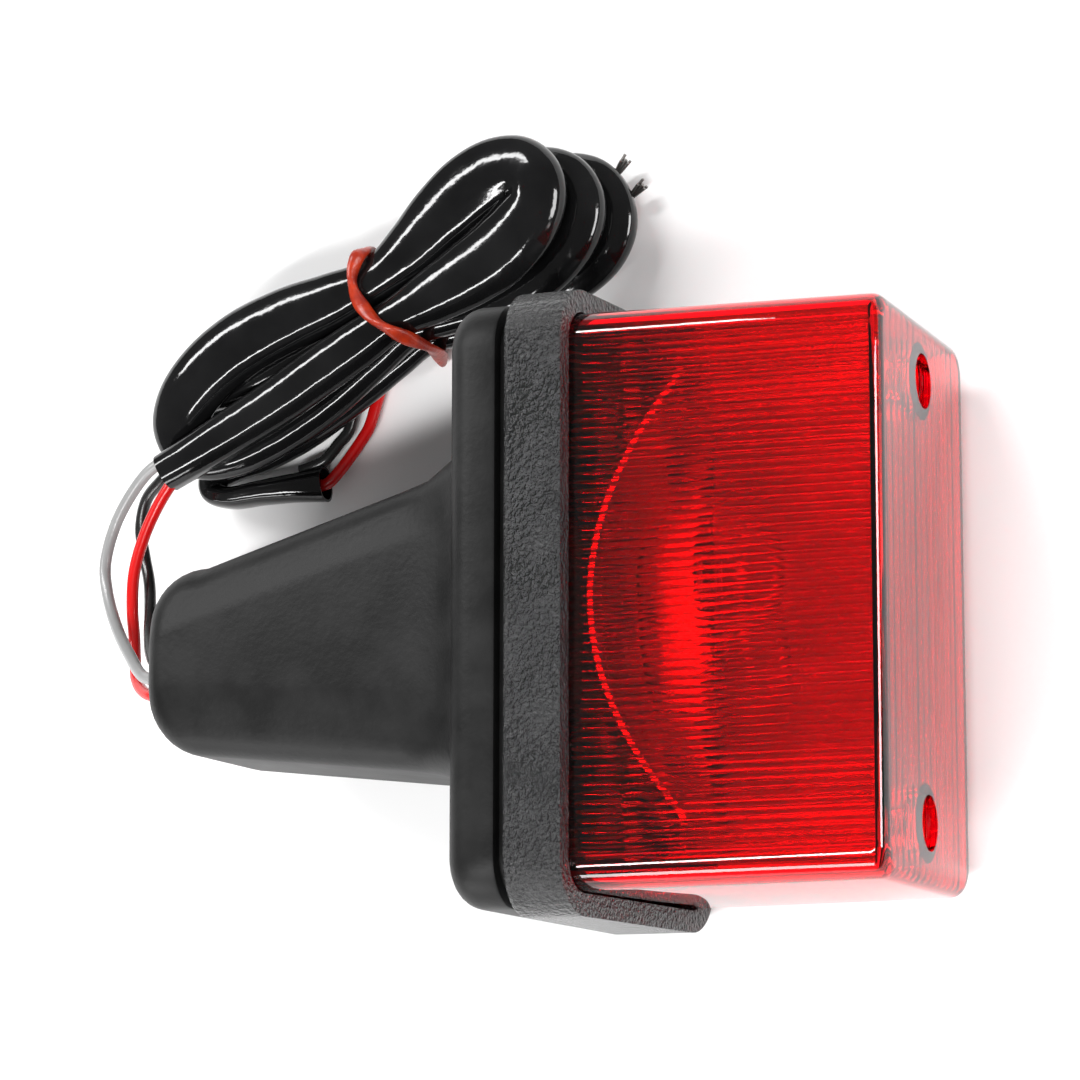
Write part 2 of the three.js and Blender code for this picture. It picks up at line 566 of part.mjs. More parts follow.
const foot = -STEM.foot;
for (const [end, side] of Object.entries(ENDS)) {
  place(`stem_insert_${end}`, ring(STEM_INSERT.outside, STEM_INSERT.bore, foot + GAP,
    foot + GAP + STEM_INSERT.length, STEM.footY, (side * STEM_INSERT.spread) / 2, 16), FINISH.brass());
}
const hollowFloor = foot + STEM_HOLLOW.footWall;
place('wire_grommet', solid(bar(GROMMET.outside, foot + GAP, hollowFloor + 1, STEM.footY))
  .add(solid(bar(GROMMET.lip, hollowFloor + GAP, hollowFloor + GAP + GROMMET.lipThick, STEM.footY)))
  .subtract(solid(bar(GROMMET_BORE, foot - 1, 0, STEM.footY))), FINISH.rubber());

// ---- wires inside the stem ----

const EXITS = {
  grey: [0, EXIT.up],
  red: [-EXIT.apart / 2, -EXIT.down],
  black: [EXIT.apart / 2, -EXIT.down],
};
const holderEnd = SOCKET_BACK - CONTACT_TRAVEL - GAP;
for (const [colour, [y, z]] of Object.entries(EXITS)) {
  const route = [
    [holderEnd, 2 * y, 2 * z],
    [holderEnd - 6, 2.2 * y, 2.2 * z],
    [holderEnd - 18, 1.6 * y + STEM.footY / 2, 1.6 * z],
    [hollowFloor + 4, y + STEM.footY, z],
    [foot + GAP, y + STEM.footY, z],
  ];
  place(`inner_lead_${colour}`, tube(route, WIRE, 12), FINISH[colour]());
}

// ---- harness outside the lamp ----

for (const [colour, points] of Object.entries(LEADS)) {
  place(`lead_${colour}`, tube(points, WIRE, 20), FINISH[colour](), part);
}
for (const [colour, points] of Object.entries(TAILS)) {
  place(`tail_${colour}`, tube(points, WIRE, 6), FINISH[colour](), part);
}
for (const [colour, points] of Object.entries(TIPS)) {
  place(`strands_${colour}`, tube(points, STRANDS, 2), FINISH.brass(), part);
}

const hankFrame = new THREE.Matrix4().makeTranslation(HANK_LEFT[0], HANK_LEFT[1], 0)
  .multiply(new THREE.Matrix4().makeRotationZ(THREE.MathUtils.degToRad(HANK.turn)));

function hankSolid() {
  const shape = new THREE.Shape();
  shape.absarc(0, 0, HANK.leftRadius, Math.PI / 2, 1.5 * Math.PI);
  shape.quadraticCurveTo(BAND.at, -HANK.waist, HANK.length, -HANK.rightRadius);
  shape.absarc(HANK.length, 0, HANK.rightRadius, -Math.PI / 2, Math.PI / 2);
  shape.quadraticCurveTo(BAND.at, HANK.waist, 0, HANK.leftRadius);
  const whole = solid(new THREE.ExtrudeGeometry(shape, {
    depth: HANK.height,
    curveSegments: 10,
    bevelEnabled: false,
  }));
  return whole.subtract(bandSolid(GAP, BAND.reach, -1));
}

/** The elastic band round the hank's waist, or the groove for it when there is a clearance round it. */
function bandSolid(clearance, reach, bottom) {
  const width = BAND.width + 2 * clearance;
  const half = BAND.halfWidth - clearance;
  const low = BAND.thickness + 2 * GAP + clearance;
  const high = BAND.top - clearance;
  const block = (halfWidth, from, to, deep) => solid(new THREE.BoxGeometry(deep, 2 * halfWidth, to - from)
    .translate(BAND.at, 0, (from + to) / 2));
  return block(half + BAND.thickness + reach, bottom, high + BAND.thickness + reach, width)
    .subtract(block(half, low, high, width + 2));
}
place('sleeve_hank', geometryOf(hankSolid()).applyMatrix4(hankFrame), FINISH.sleeve(), part);
place('hank_band', geometryOf(bandSolid(0, 0, 2 * GAP)).applyMatrix4(hankFrame), FINISH.band(), part);

const endOutline = new THREE.Shape(SLEEVE_END_OUTLINE.map(([x, y]) => new THREE.Vector2(x, y)));
place('sleeve_end', new THREE.ExtrudeGeometry(endOutline, { depth: SLEEVE_END.height, bevelEnabled: false })
  .translate(0, 0, SLEEVE_END.bottom), FINISH.sleeve(), part);

export default part;
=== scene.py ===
"""Looks of a rear lamp on a rubber stem, with its harness tied in a hank beside it.

Metres, +Z up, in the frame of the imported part: +X is the way the lens faces and Y runs along the lamp.
"""

import logging
import math
from dataclasses import dataclass, field
from enum import Enum
from typing import Callable, Iterable

import bmesh
import bpy
from mathutils import Euler, Matrix, Vector, noise


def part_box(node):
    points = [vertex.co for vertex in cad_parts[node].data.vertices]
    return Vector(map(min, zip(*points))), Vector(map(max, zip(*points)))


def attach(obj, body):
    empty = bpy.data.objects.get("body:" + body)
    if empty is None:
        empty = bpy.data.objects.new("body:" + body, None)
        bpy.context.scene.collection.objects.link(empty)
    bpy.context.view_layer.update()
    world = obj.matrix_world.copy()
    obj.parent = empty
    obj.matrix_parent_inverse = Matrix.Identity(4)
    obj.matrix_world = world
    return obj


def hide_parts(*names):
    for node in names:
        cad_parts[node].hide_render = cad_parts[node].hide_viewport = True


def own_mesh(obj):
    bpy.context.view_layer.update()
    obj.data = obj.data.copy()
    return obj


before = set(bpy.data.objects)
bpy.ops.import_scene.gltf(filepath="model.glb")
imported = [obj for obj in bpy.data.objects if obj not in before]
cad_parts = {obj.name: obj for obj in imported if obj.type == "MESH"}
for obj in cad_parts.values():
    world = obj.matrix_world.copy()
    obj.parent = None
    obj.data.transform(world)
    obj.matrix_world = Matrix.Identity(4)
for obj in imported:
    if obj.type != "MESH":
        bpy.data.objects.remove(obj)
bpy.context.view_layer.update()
LOG = logging.getLogger("rear_lamp")
MM = 0.001
# Metres: how near two places lie to count as one.
SAME = 1e-6
# Millimetres: the gap between neighbours, and where the housing's back and the lamp's axis lie.
GAP = 0.3
LAMP_X = 4.5
AXIS_Z = 29.8
SIDES = (1, -1)
NAMED_SIDES = (("upper", 1), ("lower", -1))


# ---- the workbench ----


class Axis(Enum):
    """One of the three directions of the frame."""

    X = 0
    Y = 1
    Z = 2


def deselect_all() -> None:
    """Leaves nothing selected."""
    bpy.ops.object.select_all(action="DESELECT")


def focus(piece: bpy.types.Object) -> None:
    """Makes piece the only selected object, and the active one."""
    deselect_all()
    piece.select_set(True)
    bpy.context.view_layer.objects.active = piece


def freeze(piece: bpy.types.Object) -> None:
    """Puts a piece's place, turn and scale into its mesh."""
    focus(piece)
    bpy.ops.object.transform_apply(location=True, rotation=True, scale=True)


def just_made(name: str) -> bpy.types.Object:
    """The primitive that was just added.

    Args:
        name: its name from now on.

    Returns:
        The object, with its place, turn and scale in its mesh.
    """
    piece = bpy.context.object
    piece.name = piece.data.name = name
    freeze(piece)
    return piece


def put_in_scene(name: str, data: bpy.types.ID) -> bpy.types.Object:
    """An object made from its data.

    Args:
        name: the object's name.
        data: its mesh, curve, camera or light.

    Returns:
        The object, in the scene.
    """
    piece = bpy.data.objects.new(name, data)
    bpy.context.scene.collection.objects.link(piece)
    return piece


def enter_edit(piece: bpy.types.Object, everything: bool = False) -> None:
    """Opens a piece in edit mode.

    Args:
        piece: the object.
        everything: whether all of it is selected.
    """
    focus(piece)
    bpy.ops.object.mode_set(mode="EDIT")
    if everything:
        bpy.ops.mesh.select_all(action="SELECT")


def leave_edit(outward: bool = False) -> None:
    """Leaves edit mode.

    Args:
        outward: whether every face is first turned to point outwards.
    """
    if outward:
        bpy.ops.mesh.select_all(action="SELECT")
        bpy.ops.mesh.normals_make_consistent(inside=False)
    bpy.ops.object.mode_set(mode="OBJECT")


def draw_out(step: tuple, scale: tuple, centre: Vector) -> None:
    """Extrudes what is selected in edit mode by a step, and scales its new end about a point."""
    bpy.ops.mesh.extrude_region_move(TRANSFORM_OT_translate={"value": step})
    bpy.ops.transform.resize(value=scale, center_override=centre)


def bevel_selected(width: float, segments: int, clamp: bool = False) -> None:
    """Rounds the edges that are selected in edit mode, width in millimetres."""
    bpy.ops.mesh.bevel(offset=width * MM, segments=segments, affect="EDGES", clamp_overlap=clamp)


def lamp_point(x: float, y: float, z: float) -> Vector:
    """A point in millimetres from the lamp's axis and the housing's back, as metres in the frame."""
    return Vector((x + LAMP_X, y, z + AXIS_Z)) * MM


def select_in_edit(piece: bpy.types.Object, mode: str, chosen: Callable[[object], bool]) -> int:
    """Selects the vertices, edges or faces of a piece in edit mode that pass a test.

    Args:
        piece: the object in edit mode.
        mode: VERT, EDGE or FACE.
        chosen: the test on one bmesh element.

    Returns:
        How many were selected.
    """
    bpy.ops.mesh.select_all(action="DESELECT")
    bpy.ops.mesh.select_mode(type=mode)
    mesh = bmesh.from_edit_mesh(piece.data)
    elements = {"VERT": mesh.verts, "EDGE": mesh.edges, "FACE": mesh.faces}[mode]
    count = 0
    for element in elements:
        if chosen(element):
            element.select_set(True)
            count += 1
    mesh.select_flush_mode()
    bmesh.update_edit_mesh(piece.data)
    return count


def block(name: str, low: Vector, high: Vector) -> bpy.types.Object:
    """A box between two corners, in metres."""
    deselect_all()
    bpy.ops.mesh.primitive_cube_add(size=1, location=(low + high) / 2, scale=high - low)
    return just_made(name)


def lamp_block(name: str, length: float, height: float, from_x: float, to_x: float) -> bpy.types.Object:
    """A box about the lamp's axis, in millimetres: length along Y, height along Z."""
    low = lamp_point(from_x, -length / 2, -height / 2)
    return block(name, low, lamp_point(to_x, length / 2, height / 2))


def round_corners(piece: bpy.types.Object, axis: Axis, radius: float, segments: int = 8) -> None:
    """Rounds the four edges of a box that run along an axis.

    Args:
        piece: the box.
        axis: the direction of the edges.
        radius: in millimetres.
        segments: how many facets the round has.
    """
    others = [i for i in range(3) if i != axis.value]
    enter_edit(piece)
    select_in_edit(piece, "EDGE", lambda e: all(
        abs(e.verts[0].co[i] - e.verts[1].co[i]) < SAME / 10 for i in others))
    bevel_selected(radius, segments)
    leave_edit()


def round_corners_x(piece: bpy.types.Object, radius: float, segments: int) -> None:
    """Rounds the four edges that run front to back, which may be tapered.

    Args:
        piece: the box.
        radius: in millimetres.
        segments: how many facets the round has.
    """
    enter_edit(piece)
    select_in_edit(piece, "EDGE", lambda e: abs(e.verts[0].co.x - e.verts[1].co.x) > MM)
    bevel_selected(radius, segments)
    leave_edit()


def round_end(piece: bpy.types.Object, axis: Axis, at: float, width: float, segments: int = 4) -> None:
    """Rounds the loop of edges that lies at one place along an axis.

    Args:
        piece: the box.
        axis: the direction in which the place is given.
        at: the place, in metres.
        width: the round's width in millimetres.
        segments: how many facets the round has.
    """
    enter_edit(piece)
    select_in_edit(piece, "EDGE", lambda e: all(abs(v.co[axis.value] - at) < SAME for v in e.verts))
    bevel_selected(width, segments)
    leave_edit()


def scale_at(piece: bpy.types.Object, x: float, scale: tuple, centre: Vector,
             shift: tuple = (0, 0, 0)) -> None:
    """Scales and shifts the vertices of a piece that lie at one place along X.

    Args:
        piece: the piece.
        x: the place, in metres.
        scale: the three factors.
        centre: the point that they are scaled about.
        shift: how far they are then moved, in metres.
    """
    enter_edit(piece)
    select_in_edit(piece, "VERT", lambda v: abs(v.co.x - x) < SAME)
    bpy.ops.transform.resize(value=scale, center_override=centre)
    bpy.ops.transform.translate(value=shift)
    leave_edit()


def apply_modifier(piece: bpy.types.Object, kind: str, **settings: object) -> None:
    """Adds a modifier and applies it.

    Args:
        piece: the piece that it changes.
        kind: the modifier's type.
        settings: its settings by name.
    """
    focus(piece)
    modifier = piece.modifiers.new(kind.title(), kind)
    for key, value in settings.items():
        setattr(modifier, key, value)
    bpy.ops.object.modifier_apply(modifier=modifier.name)


def combine(piece: bpy.types.Object, others: Iterable[bpy.types.Object], operation: str) -> None:
    """Cuts, joins or intersects a piece with others, which are used up.

    Args:
        piece: the piece that stays.
        others: the cutters or additions.
        operation: DIFFERENCE, UNION or INTERSECT.
    """
    for other in others:
        apply_modifier(piece, "BOOLEAN", operation=operation, object=other, solver="EXACT")
        bpy.data.objects.remove(other)


def cut(piece: bpy.types.Object, *cutters: bpy.types.Object) -> None:
    """Subtracts cutters from a piece."""
    combine(piece, cutters, "DIFFERENCE")


def add(piece: bpy.types.Object, *additions: bpy.types.Object) -> None:
    """Unites additions with a piece."""
    combine(piece, additions, "UNION")


def soften(piece: bpy.types.Object, width: float, segments: int = 2, angle: float = 40) -> None:
    """Gives the sharp edges of a piece a small round, width in millimetres."""
    apply_modifier(piece, "BEVEL", width=width * MM, segments=segments, limit_method="ANGLE",
                   angle_limit=math.radians(angle), use_clamp_overlap=True, harden_normals=False)


def smooth(piece: bpy.types.Object, angle: float = 35) -> None:
    """Shades a piece smooth across edges below an angle in degrees."""
    focus(piece)
    bpy.ops.object.shade_smooth_by_angle(angle=math.radians(angle))


def turn(name: str, profile: list, y: float = 0, z: float = 0, sides: int = 48) -> bpy.types.Object:
    """A body turned about a line along X, from a circle drawn out step by step.

    Args:
        name: the piece's name.
        profile: (x, radius) pairs in millimetres, from one closed end to the other.
        y: the line's place along the lamp.
        z: the line's height from the lamp's axis.
        sides: how many flats the circle has.

    Returns:
        The piece, closed at both ends.
    """
    first_x, first_radius = profile[0]
    deselect_all()
    bpy.ops.mesh.primitive_circle_add(
        vertices=sides, radius=first_radius * MM, fill_type="NGON",
        location=lamp_point(first_x, y, z), rotation=(0, math.pi / 2, 0))
    piece = just_made(name)
    enter_edit(piece, everything=True)
    for (x0, radius0), (x1, radius1) in zip(profile, profile[1:]):
        share = radius1 / radius0
        draw_out(((x1 - x0) * MM, 0, 0), (1, share, share), lamp_point(x1, y, z))
    leave_edit(outward=True)
    return piece


def rod(name: str, diameter: float, from_x: float, to_x: float, y: float = 0, z: float = 0,
        sides: int = 48) -> bpy.types.Object:
    """A round bar along X, in millimetres."""
    return turn(name, [(from_x, diameter / 2), (to_x, diameter / 2)], y, z, sides)


def set_inputs(node: bpy.types.Node, values: dict) -> None:
    """Sets constants on a node's own sockets, by their names."""
    for name, value in values.items():
        node.inputs[name].default_value = value


def finish_piece(piece: bpy.types.Object, look: "Finish", body: str, *nodes: str) -> bpy.types.Object:
    """Dresses a finished piece and ties it to the CAD model.

    Args:
        piece: the finished object.
        look: its finish.
        body: the CAD body that it rides on.
        nodes: the CAD nodes that it stands for.

    Returns:
        The same piece.
    """
    piece.data.materials.clear()
    piece.data.materials.append(look.material())
    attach(piece, body)
    if nodes:
        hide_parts(*nodes)
    return piece


# ---- finishes ----


class Relief(Enum):
    """How the small relief of a surface is laid out."""

    MOULDED = "an even fine skin"
    SPARK_GRAIN = "round pits side by side"
    TURNED = "fine rings about the lamp's axis"
    DRAWN = "streaks along the length"


@dataclass(frozen=True)
class Finish:
    """A surface's finish, in linear colours. Sizes are metres.

    Attributes:
        label: the material's name.
        slot: the record's material slot.
        colour: the main colour.
        second: the colour that it varies to.
        rough: the least and greatest roughness.
        metal: how metallic it is.
        relief: the layout of the small relief.
        pitch: the relief's size.
        depth: the relief's depth.
        blotch: the size of the slow colour variation.
        see_through: the share of light that passes, 0 or at least 0.5.
        index: index of refraction.
        strength: how strongly the relief tilts the surface.
    """

    label: str
    slot: str
    # slot: a material slot name; not used.
    colour: tuple
    second: tuple
    rough: tuple
    metal: float = 0
    relief: Relief = Relief.MOULDED
    pitch: float = 0.0006
    depth: float = 0.00001
    blotch: float = 0.012
    see_through: float = 0
    index: float = 1.5
    strength: float = 1

    def material(self) -> bpy.types.Material:
        """The finish as a node material, made once.

        Returns:
            The material.
        """
        made = bpy.data.materials.get(self.label)
        if made is None:
            made = bpy.data.materials.new(self.label)
            self._build(made)
        return made

    def _build(self, made: bpy.types.Material) -> None:
        """Lays out the nodes: slow colour, roughness and a small relief, all on Object coordinates.

        Args:
            made: the new material.
        """
        made.use_nodes = True
        nodes = made.node_tree.nodes
        link = made.node_tree.links.new
        nodes.clear()
        output = nodes.new("ShaderNodeOutputMaterial")
        shader = nodes.new("ShaderNodeBsdfPrincipled")
        place = nodes.new("ShaderNodeTexCoord")
        set_inputs(shader, {"Metallic": self.metal, "IOR": self.index,
                            "Transmission Weight": self.see_through})

        cloud = nodes.new("ShaderNodeTexNoise")
        set_inputs(cloud, {"Scale": 1 / self.blotch, "Detail": 4})
        link(place.outputs["Object"], cloud.inputs["Vector"])
        ramp = nodes.new("ShaderNodeValToRGB")
        stops = ((0.35, self.colour), (0.68, self.second))
        for element, (position, colour) in zip(ramp.color_ramp.elements, stops):
            element.position = position
            element.color = (*colour, 1)
        link(cloud.outputs["Fac"], ramp.inputs["Fac"])
        link(ramp.outputs["Color"], shader.inputs["Base Color"])

        height = self._relief(nodes, link, place.outputs["Object"])
        gloss = nodes.new("ShaderNodeMapRange")
        set_inputs(gloss, {"To Min": self.rough[0], "To Max": self.rough[1]})
        link(cloud.outputs["Fac"], gloss.inputs["Value"])
        link(gloss.outputs["Result"], shader.inputs["Roughness"])
        bump = nodes.new("ShaderNodeBump")
        set_inputs(bump, {"Strength": self.strength, "Distance": self.depth})
        link(height, bump.inputs["Height"])
        link(bump.outputs["Normal"], shader.inputs["Normal"])
        link(shader.outputs["BSDF"], output.inputs["Surface"])

    def _relief(self, nodes: bpy.types.Nodes, link: Callable, vector: object) -> object:
        """Lays out the relief's nodes.

        Args:
            nodes: the material's nodes.
            link: what joins two sockets.
            vector: the socket with the coordinates.

        Returns:
            The socket that holds the relief's height.
        """
        if self.relief is Relief.SPARK_GRAIN:
            pits = nodes.new("ShaderNodeTexVoronoi")
            pits.feature = "SMOOTH_F1"
            set_inputs(pits, {"Scale": 1 / self.pitch, "Smoothness": 0.4})
            link(vector, pits.inputs["Vector"])
            fine = nodes.new("ShaderNodeTexNoise")
            set_inputs(fine, {"Scale": 2.2 / self.pitch, "Detail": 2})
            link(vector, fine.inputs["Vector"])
            mixed = nodes.new("ShaderNodeMath")
            mixed.operation = "ADD"
            link(pits.outputs["Distance"], mixed.inputs[0])
            link(fine.outputs["Fac"], mixed.inputs[1])
            return mixed.outputs["Value"]
        mapping = nodes.new("ShaderNodeMapping")
        link(vector, mapping.inputs["Vector"])
        if self.relief is Relief.TURNED:
            set_inputs(mapping, {"Location": (0, 0, -AXIS_Z * MM), "Scale": (0, 1, 1)})
            rings = nodes.new("ShaderNodeTexWave")
            rings.wave_type = "RINGS"
            rings.rings_direction = "X"
            set_inputs(rings, {"Scale": 0.3 / self.pitch, "Distortion": 0.6})
            link(mapping.outputs["Vector"], rings.inputs["Vector"])
            return rings.outputs["Fac"]
        set_inputs(mapping, {"Scale": (0.08, 1, 1) if self.relief is Relief.DRAWN else (1, 1, 1)})
        skin = nodes.new("ShaderNodeTexNoise")
        set_inputs(skin, {"Scale": 1 / self.pitch, "Detail": 3})
        link(mapping.outputs["Vector"], skin.inputs["Vector"])
        return skin.outputs["Fac"]


RED_LENS = Finish(
    "red_lens_plastic", "red_lens", (0.96, 0.0, 0.006), (0.92, 0.0, 0.005), (0.0, 0.03),
    pitch=0.004, depth=1e-05, blotch=0.03, see_through=1, index=1.49, strength=0.3)
HOUSING_PLASTIC = Finish(
    "grained_housing_plastic", "black_plastic", (0.014, 0.014, 0.0145), (0.028, 0.028, 0.029), (0.12, 0.24),
    relief=Relief.SPARK_GRAIN, pitch=0.00085, depth=0.0008, index=1.5)
MOUNT_RUBBER = Finish(
    "mount_rubber_skin", "mount_rubber", (0.006, 0.006, 0.006), (0.013, 0.013, 0.013), (0.4, 0.56),
    pitch=0.0011, depth=6e-05, blotch=0.009, index=1.28)
SEAL_RUBBER = Finish(
    "seal_rubber_skin", "seal_rubber", (0.02, 0.02, 0.021), (0.032, 0.032, 0.032), (0.6, 0.8))
SLEEVE_PVC = Finish(
    "glossy_sleeve", "black_sleeve", (0.003, 0.003, 0.0032), (0.007, 0.007, 0.0073), (0.06, 0.13),
    pitch=0.004, depth=0.00016, strength=0.55, index=1.4)
BAND_RUBBER = Finish(
    "orange_elastic", "orange_band", (0.42, 0.03, 0.006), (0.2, 0.01, 0.004), (0.2, 0.45),
    pitch=0.0009, depth=0.00012, blotch=0.003)
GREY_WIRE = Finish(
    "light_grey_insulation", "grey_wire", (0.3, 0.3, 0.3), (0.24, 0.24, 0.24), (0.2, 0.3))
RED_WIRE = Finish(
    "red_insulation", "red_wire", (0.62, 0.006, 0.006), (0.48, 0.004, 0.004), (0.2, 0.3))
BLACK_WIRE = Finish(
    "black_insulation", "black_wire", (0.01, 0.01, 0.01), (0.016, 0.016, 0.016), (0.2, 0.3))
TINNED = Finish(
    "tinned_copper", "tinned_strands", (0.3, 0.29, 0.28), (0.16, 0.15, 0.14), (0.3, 0.5),
    metal=1, relief=Relief.DRAWN)
STEEL = Finish(
    "bright_steel_plate", "bright_steel", (0.62, 0.62, 0.63), (0.5, 0.5, 0.51), (0.2, 0.36),
    metal=1, relief=Relief.TURNED, pitch=0.0005)
BRASS = Finish(
    "turned_brass", "brass", (0.62, 0.43, 0.16), (0.5, 0.34, 0.12), (0.2, 0.38),
    metal=1, relief=Relief.TURNED, pitch=0.0005)
MIRROR = Finish(
    "aluminised_mirror", "mirror_finish", (0.88, 0.88, 0.89), (0.82, 0.82, 0.84), (0.12, 0.2),
    metal=1, pitch=0.003, depth=5e-06)
INSULATOR = Finish(
    "brown_insulator", "insulator", (0.06, 0.03, 0.015), (0.1, 0.05, 0.025), (0.4, 0.6))
CLEAR_GLASS = Finish(
    "bulb_glass_clear", "clear_glass", (0.97, 0.98, 0.98), (0.93, 0.95, 0.95), (0.0, 0.02),
    see_through=1, index=1.45, pitch=0.004, depth=5e-06, strength=0.2)


# ---- routes ----


def through(points: list, steps: int) -> list:
    """A smooth centripetal curve through points.

    Args:
        points: at least three points.
        steps: how many short stretches each gap is cut into.

    Returns:
        The curve's points as vectors.
    """
    given = [Vector(p) for p in points]
    ends = [2 * given[0] - given[1], *given, 2 * given[-1] - given[-2]]
    made = []
    for a, b, c, d in zip(ends, ends[1:], ends[2:], ends[3:]):
        t1 = max((b - a).length, SAME) ** 0.5
        t2 = t1 + max((c - b).length, SAME) ** 0.5
        t3 = t2 + max((d - c).length, SAME) ** 0.5
        for i in range(steps):
            t = t1 + (t2 - t1) * i / steps
            first = a + (b - a) * (t / t1)
            second = b + (c - b) * ((t - t1) / (t2 - t1))
            third = c + (d - c) * ((t - t2) / (t3 - t2))
            fourth = first + (second - first) * (t / t2)
            fifth = second + (third - second) * ((t - t1) / (t3 - t1))
            made.append(fourth + (fifth - fourth) * ((t - t1) / (t2 - t1)))
    return [*made, given[-1]]


def wire_along(name: str, points: list, diameter: float) -> bpy.types.Object:
    """A round insulated wire as a curve of one open spline.

    Args:
        name: the wire's name.
        points: its route, in metres.
        diameter: in millimetres.

    Returns:
        The wire.
    """
    curve = bpy.data.curves.new(name, "CURVE")
    curve.dimensions = "3D"
    curve.bevel_depth = diameter / 2 * MM
    curve.bevel_resolution = 5
    curve.use_fill_caps = True
    spline = curve.splines.new("POLY")
    spline.points.add(len(points) - 1)
    for point, at in zip(spline.points, points):
        point.co = (*at, 1)
    spline.use_smooth = True
    return put_in_scene(name, curve)


def sweep(name: str, rings: list, closed: bool = False) -> bpy.types.Object:
    """A skin over rings of points. The rings all have the same count.

    Args:
        name: the piece's name.
        rings: lists of points, one list for each place along the route.
        closed: whether the last ring joins the first.

    Returns:
        The piece, an open skin, or a closed loop.
    """
    mesh = bmesh.new()
    rows = [[mesh.verts.new(point) for point in ring] for ring in rings]
    last = [(rows[-1], rows[0])] if closed else []
    for near, far in [*zip(rows, rows[1:]), *last]:
        for i in range(len(near)):
            j = (i + 1) % len(near)
            mesh.faces.new((near[i], near[j], far[j], far[i]))
    data = bpy.data.meshes.new(name)
    mesh.to_mesh(data)
    mesh.free()
    for face in data.polygons:
        face.use_smooth = True
    return put_in_scene(name, data)


# ---- camera, light and floor ----


@dataclass
class Studio:
    """The camera, the soft lights and the pale floor, in metres."""

    camera_at: tuple = (0.2389, -0.0983, 0.6392)
    camera_turn: tuple = (9.7835, 21.4302, 0.0908)
    lens_mm: float = 129.3
    floor_size: float = 4.0
    floor_top: float = -0.0003
    surround: float = 0.22

    def set_camera(self) -> None:
        """Makes the camera."""
        data = bpy.data.cameras.new("studio_camera")
        data.lens = self.lens_mm
        data.sensor_width = 36
        data.clip_start = 0.01
        data.clip_end = 20
        camera = put_in_scene("studio_camera", data)
        camera.location = self.camera_at
        camera.rotation_euler = Euler([math.radians(a) for a in self.camera_turn])
        bpy.context.scene.camera = camera

    def softbox(self, name: str, towards: tuple, along: tuple, distance: float, size: tuple,
                power: float) -> None:
        """One soft light that faces the lamp.

        Args:
            name: the light's name.
            towards: the direction from the lamp to the light.
            along: the direction that its length lies along.
            distance: how far away it is.
            size: its length and width.
            power: its power in watts.
        """
        data = bpy.data.lights.new(name, "AREA")
        data.shape = "RECTANGLE"
        data.size, data.size_y = size
        data.energy = power
        light = put_in_scene(name, data)
        out = Vector(towards).normalized()
        length = (Vector(along) - out * out.dot(Vector(along))).normalized()
        turned = Matrix((length, out.cross(length), out)).transposed().to_4x4()
        light.matrix_world = Matrix.Translation(out * distance + Vector((0, 0, 0.03))) @ turned

    def build(self) -> None:
        """Makes the surround, the lights and the floor."""
        scene = bpy.context.scene
        scene.view_settings.view_transform = "Standard"
        world = bpy.data.worlds.new("studio")
        scene.world = world
        world.use_nodes = True
        set_inputs(world.node_tree.nodes["Background"], {"Color": (1, 1, 1, 1), "Strength": self.surround})
        hank = (0.904, 0.427, 0)
        self.softbox("far_strip", (-0.5, 0.52, 0.69), hank, 1.1, (0.9, 0.12), 11)
        self.softbox("near_strip", (-0.05, -0.5, 0.86), hank, 1.1, (0.9, 0.09), 11)
        self.softbox("low_softbox", (-0.35, -0.9, 0.3), (1, 0, 0), 1.1, (0.9, 0.2), 8)
        self.softbox("front_softbox", (0.95, 0.05, 0.4), (0, 1, 0), 1.2, (0.6, 0.3), 12)
        deselect_all()
        bpy.ops.mesh.primitive_plane_add(size=self.floor_size, location=(0, 0, self.floor_top))
        floor = bpy.context.object
        floor.name = "studio_floor"
        paper = Finish("pale_paper", "none", (0.93, 0.93, 0.93), (0.9, 0.9, 0.9), (0.75, 0.85),
                       blotch=0.3)
        floor.data.materials.append(paper.material())


# ---- harness ----


class Wire(Enum):
    """The three leads by the colour of their insulation."""

    GREY = "grey"
    RED = "red"
    BLACK = "black"


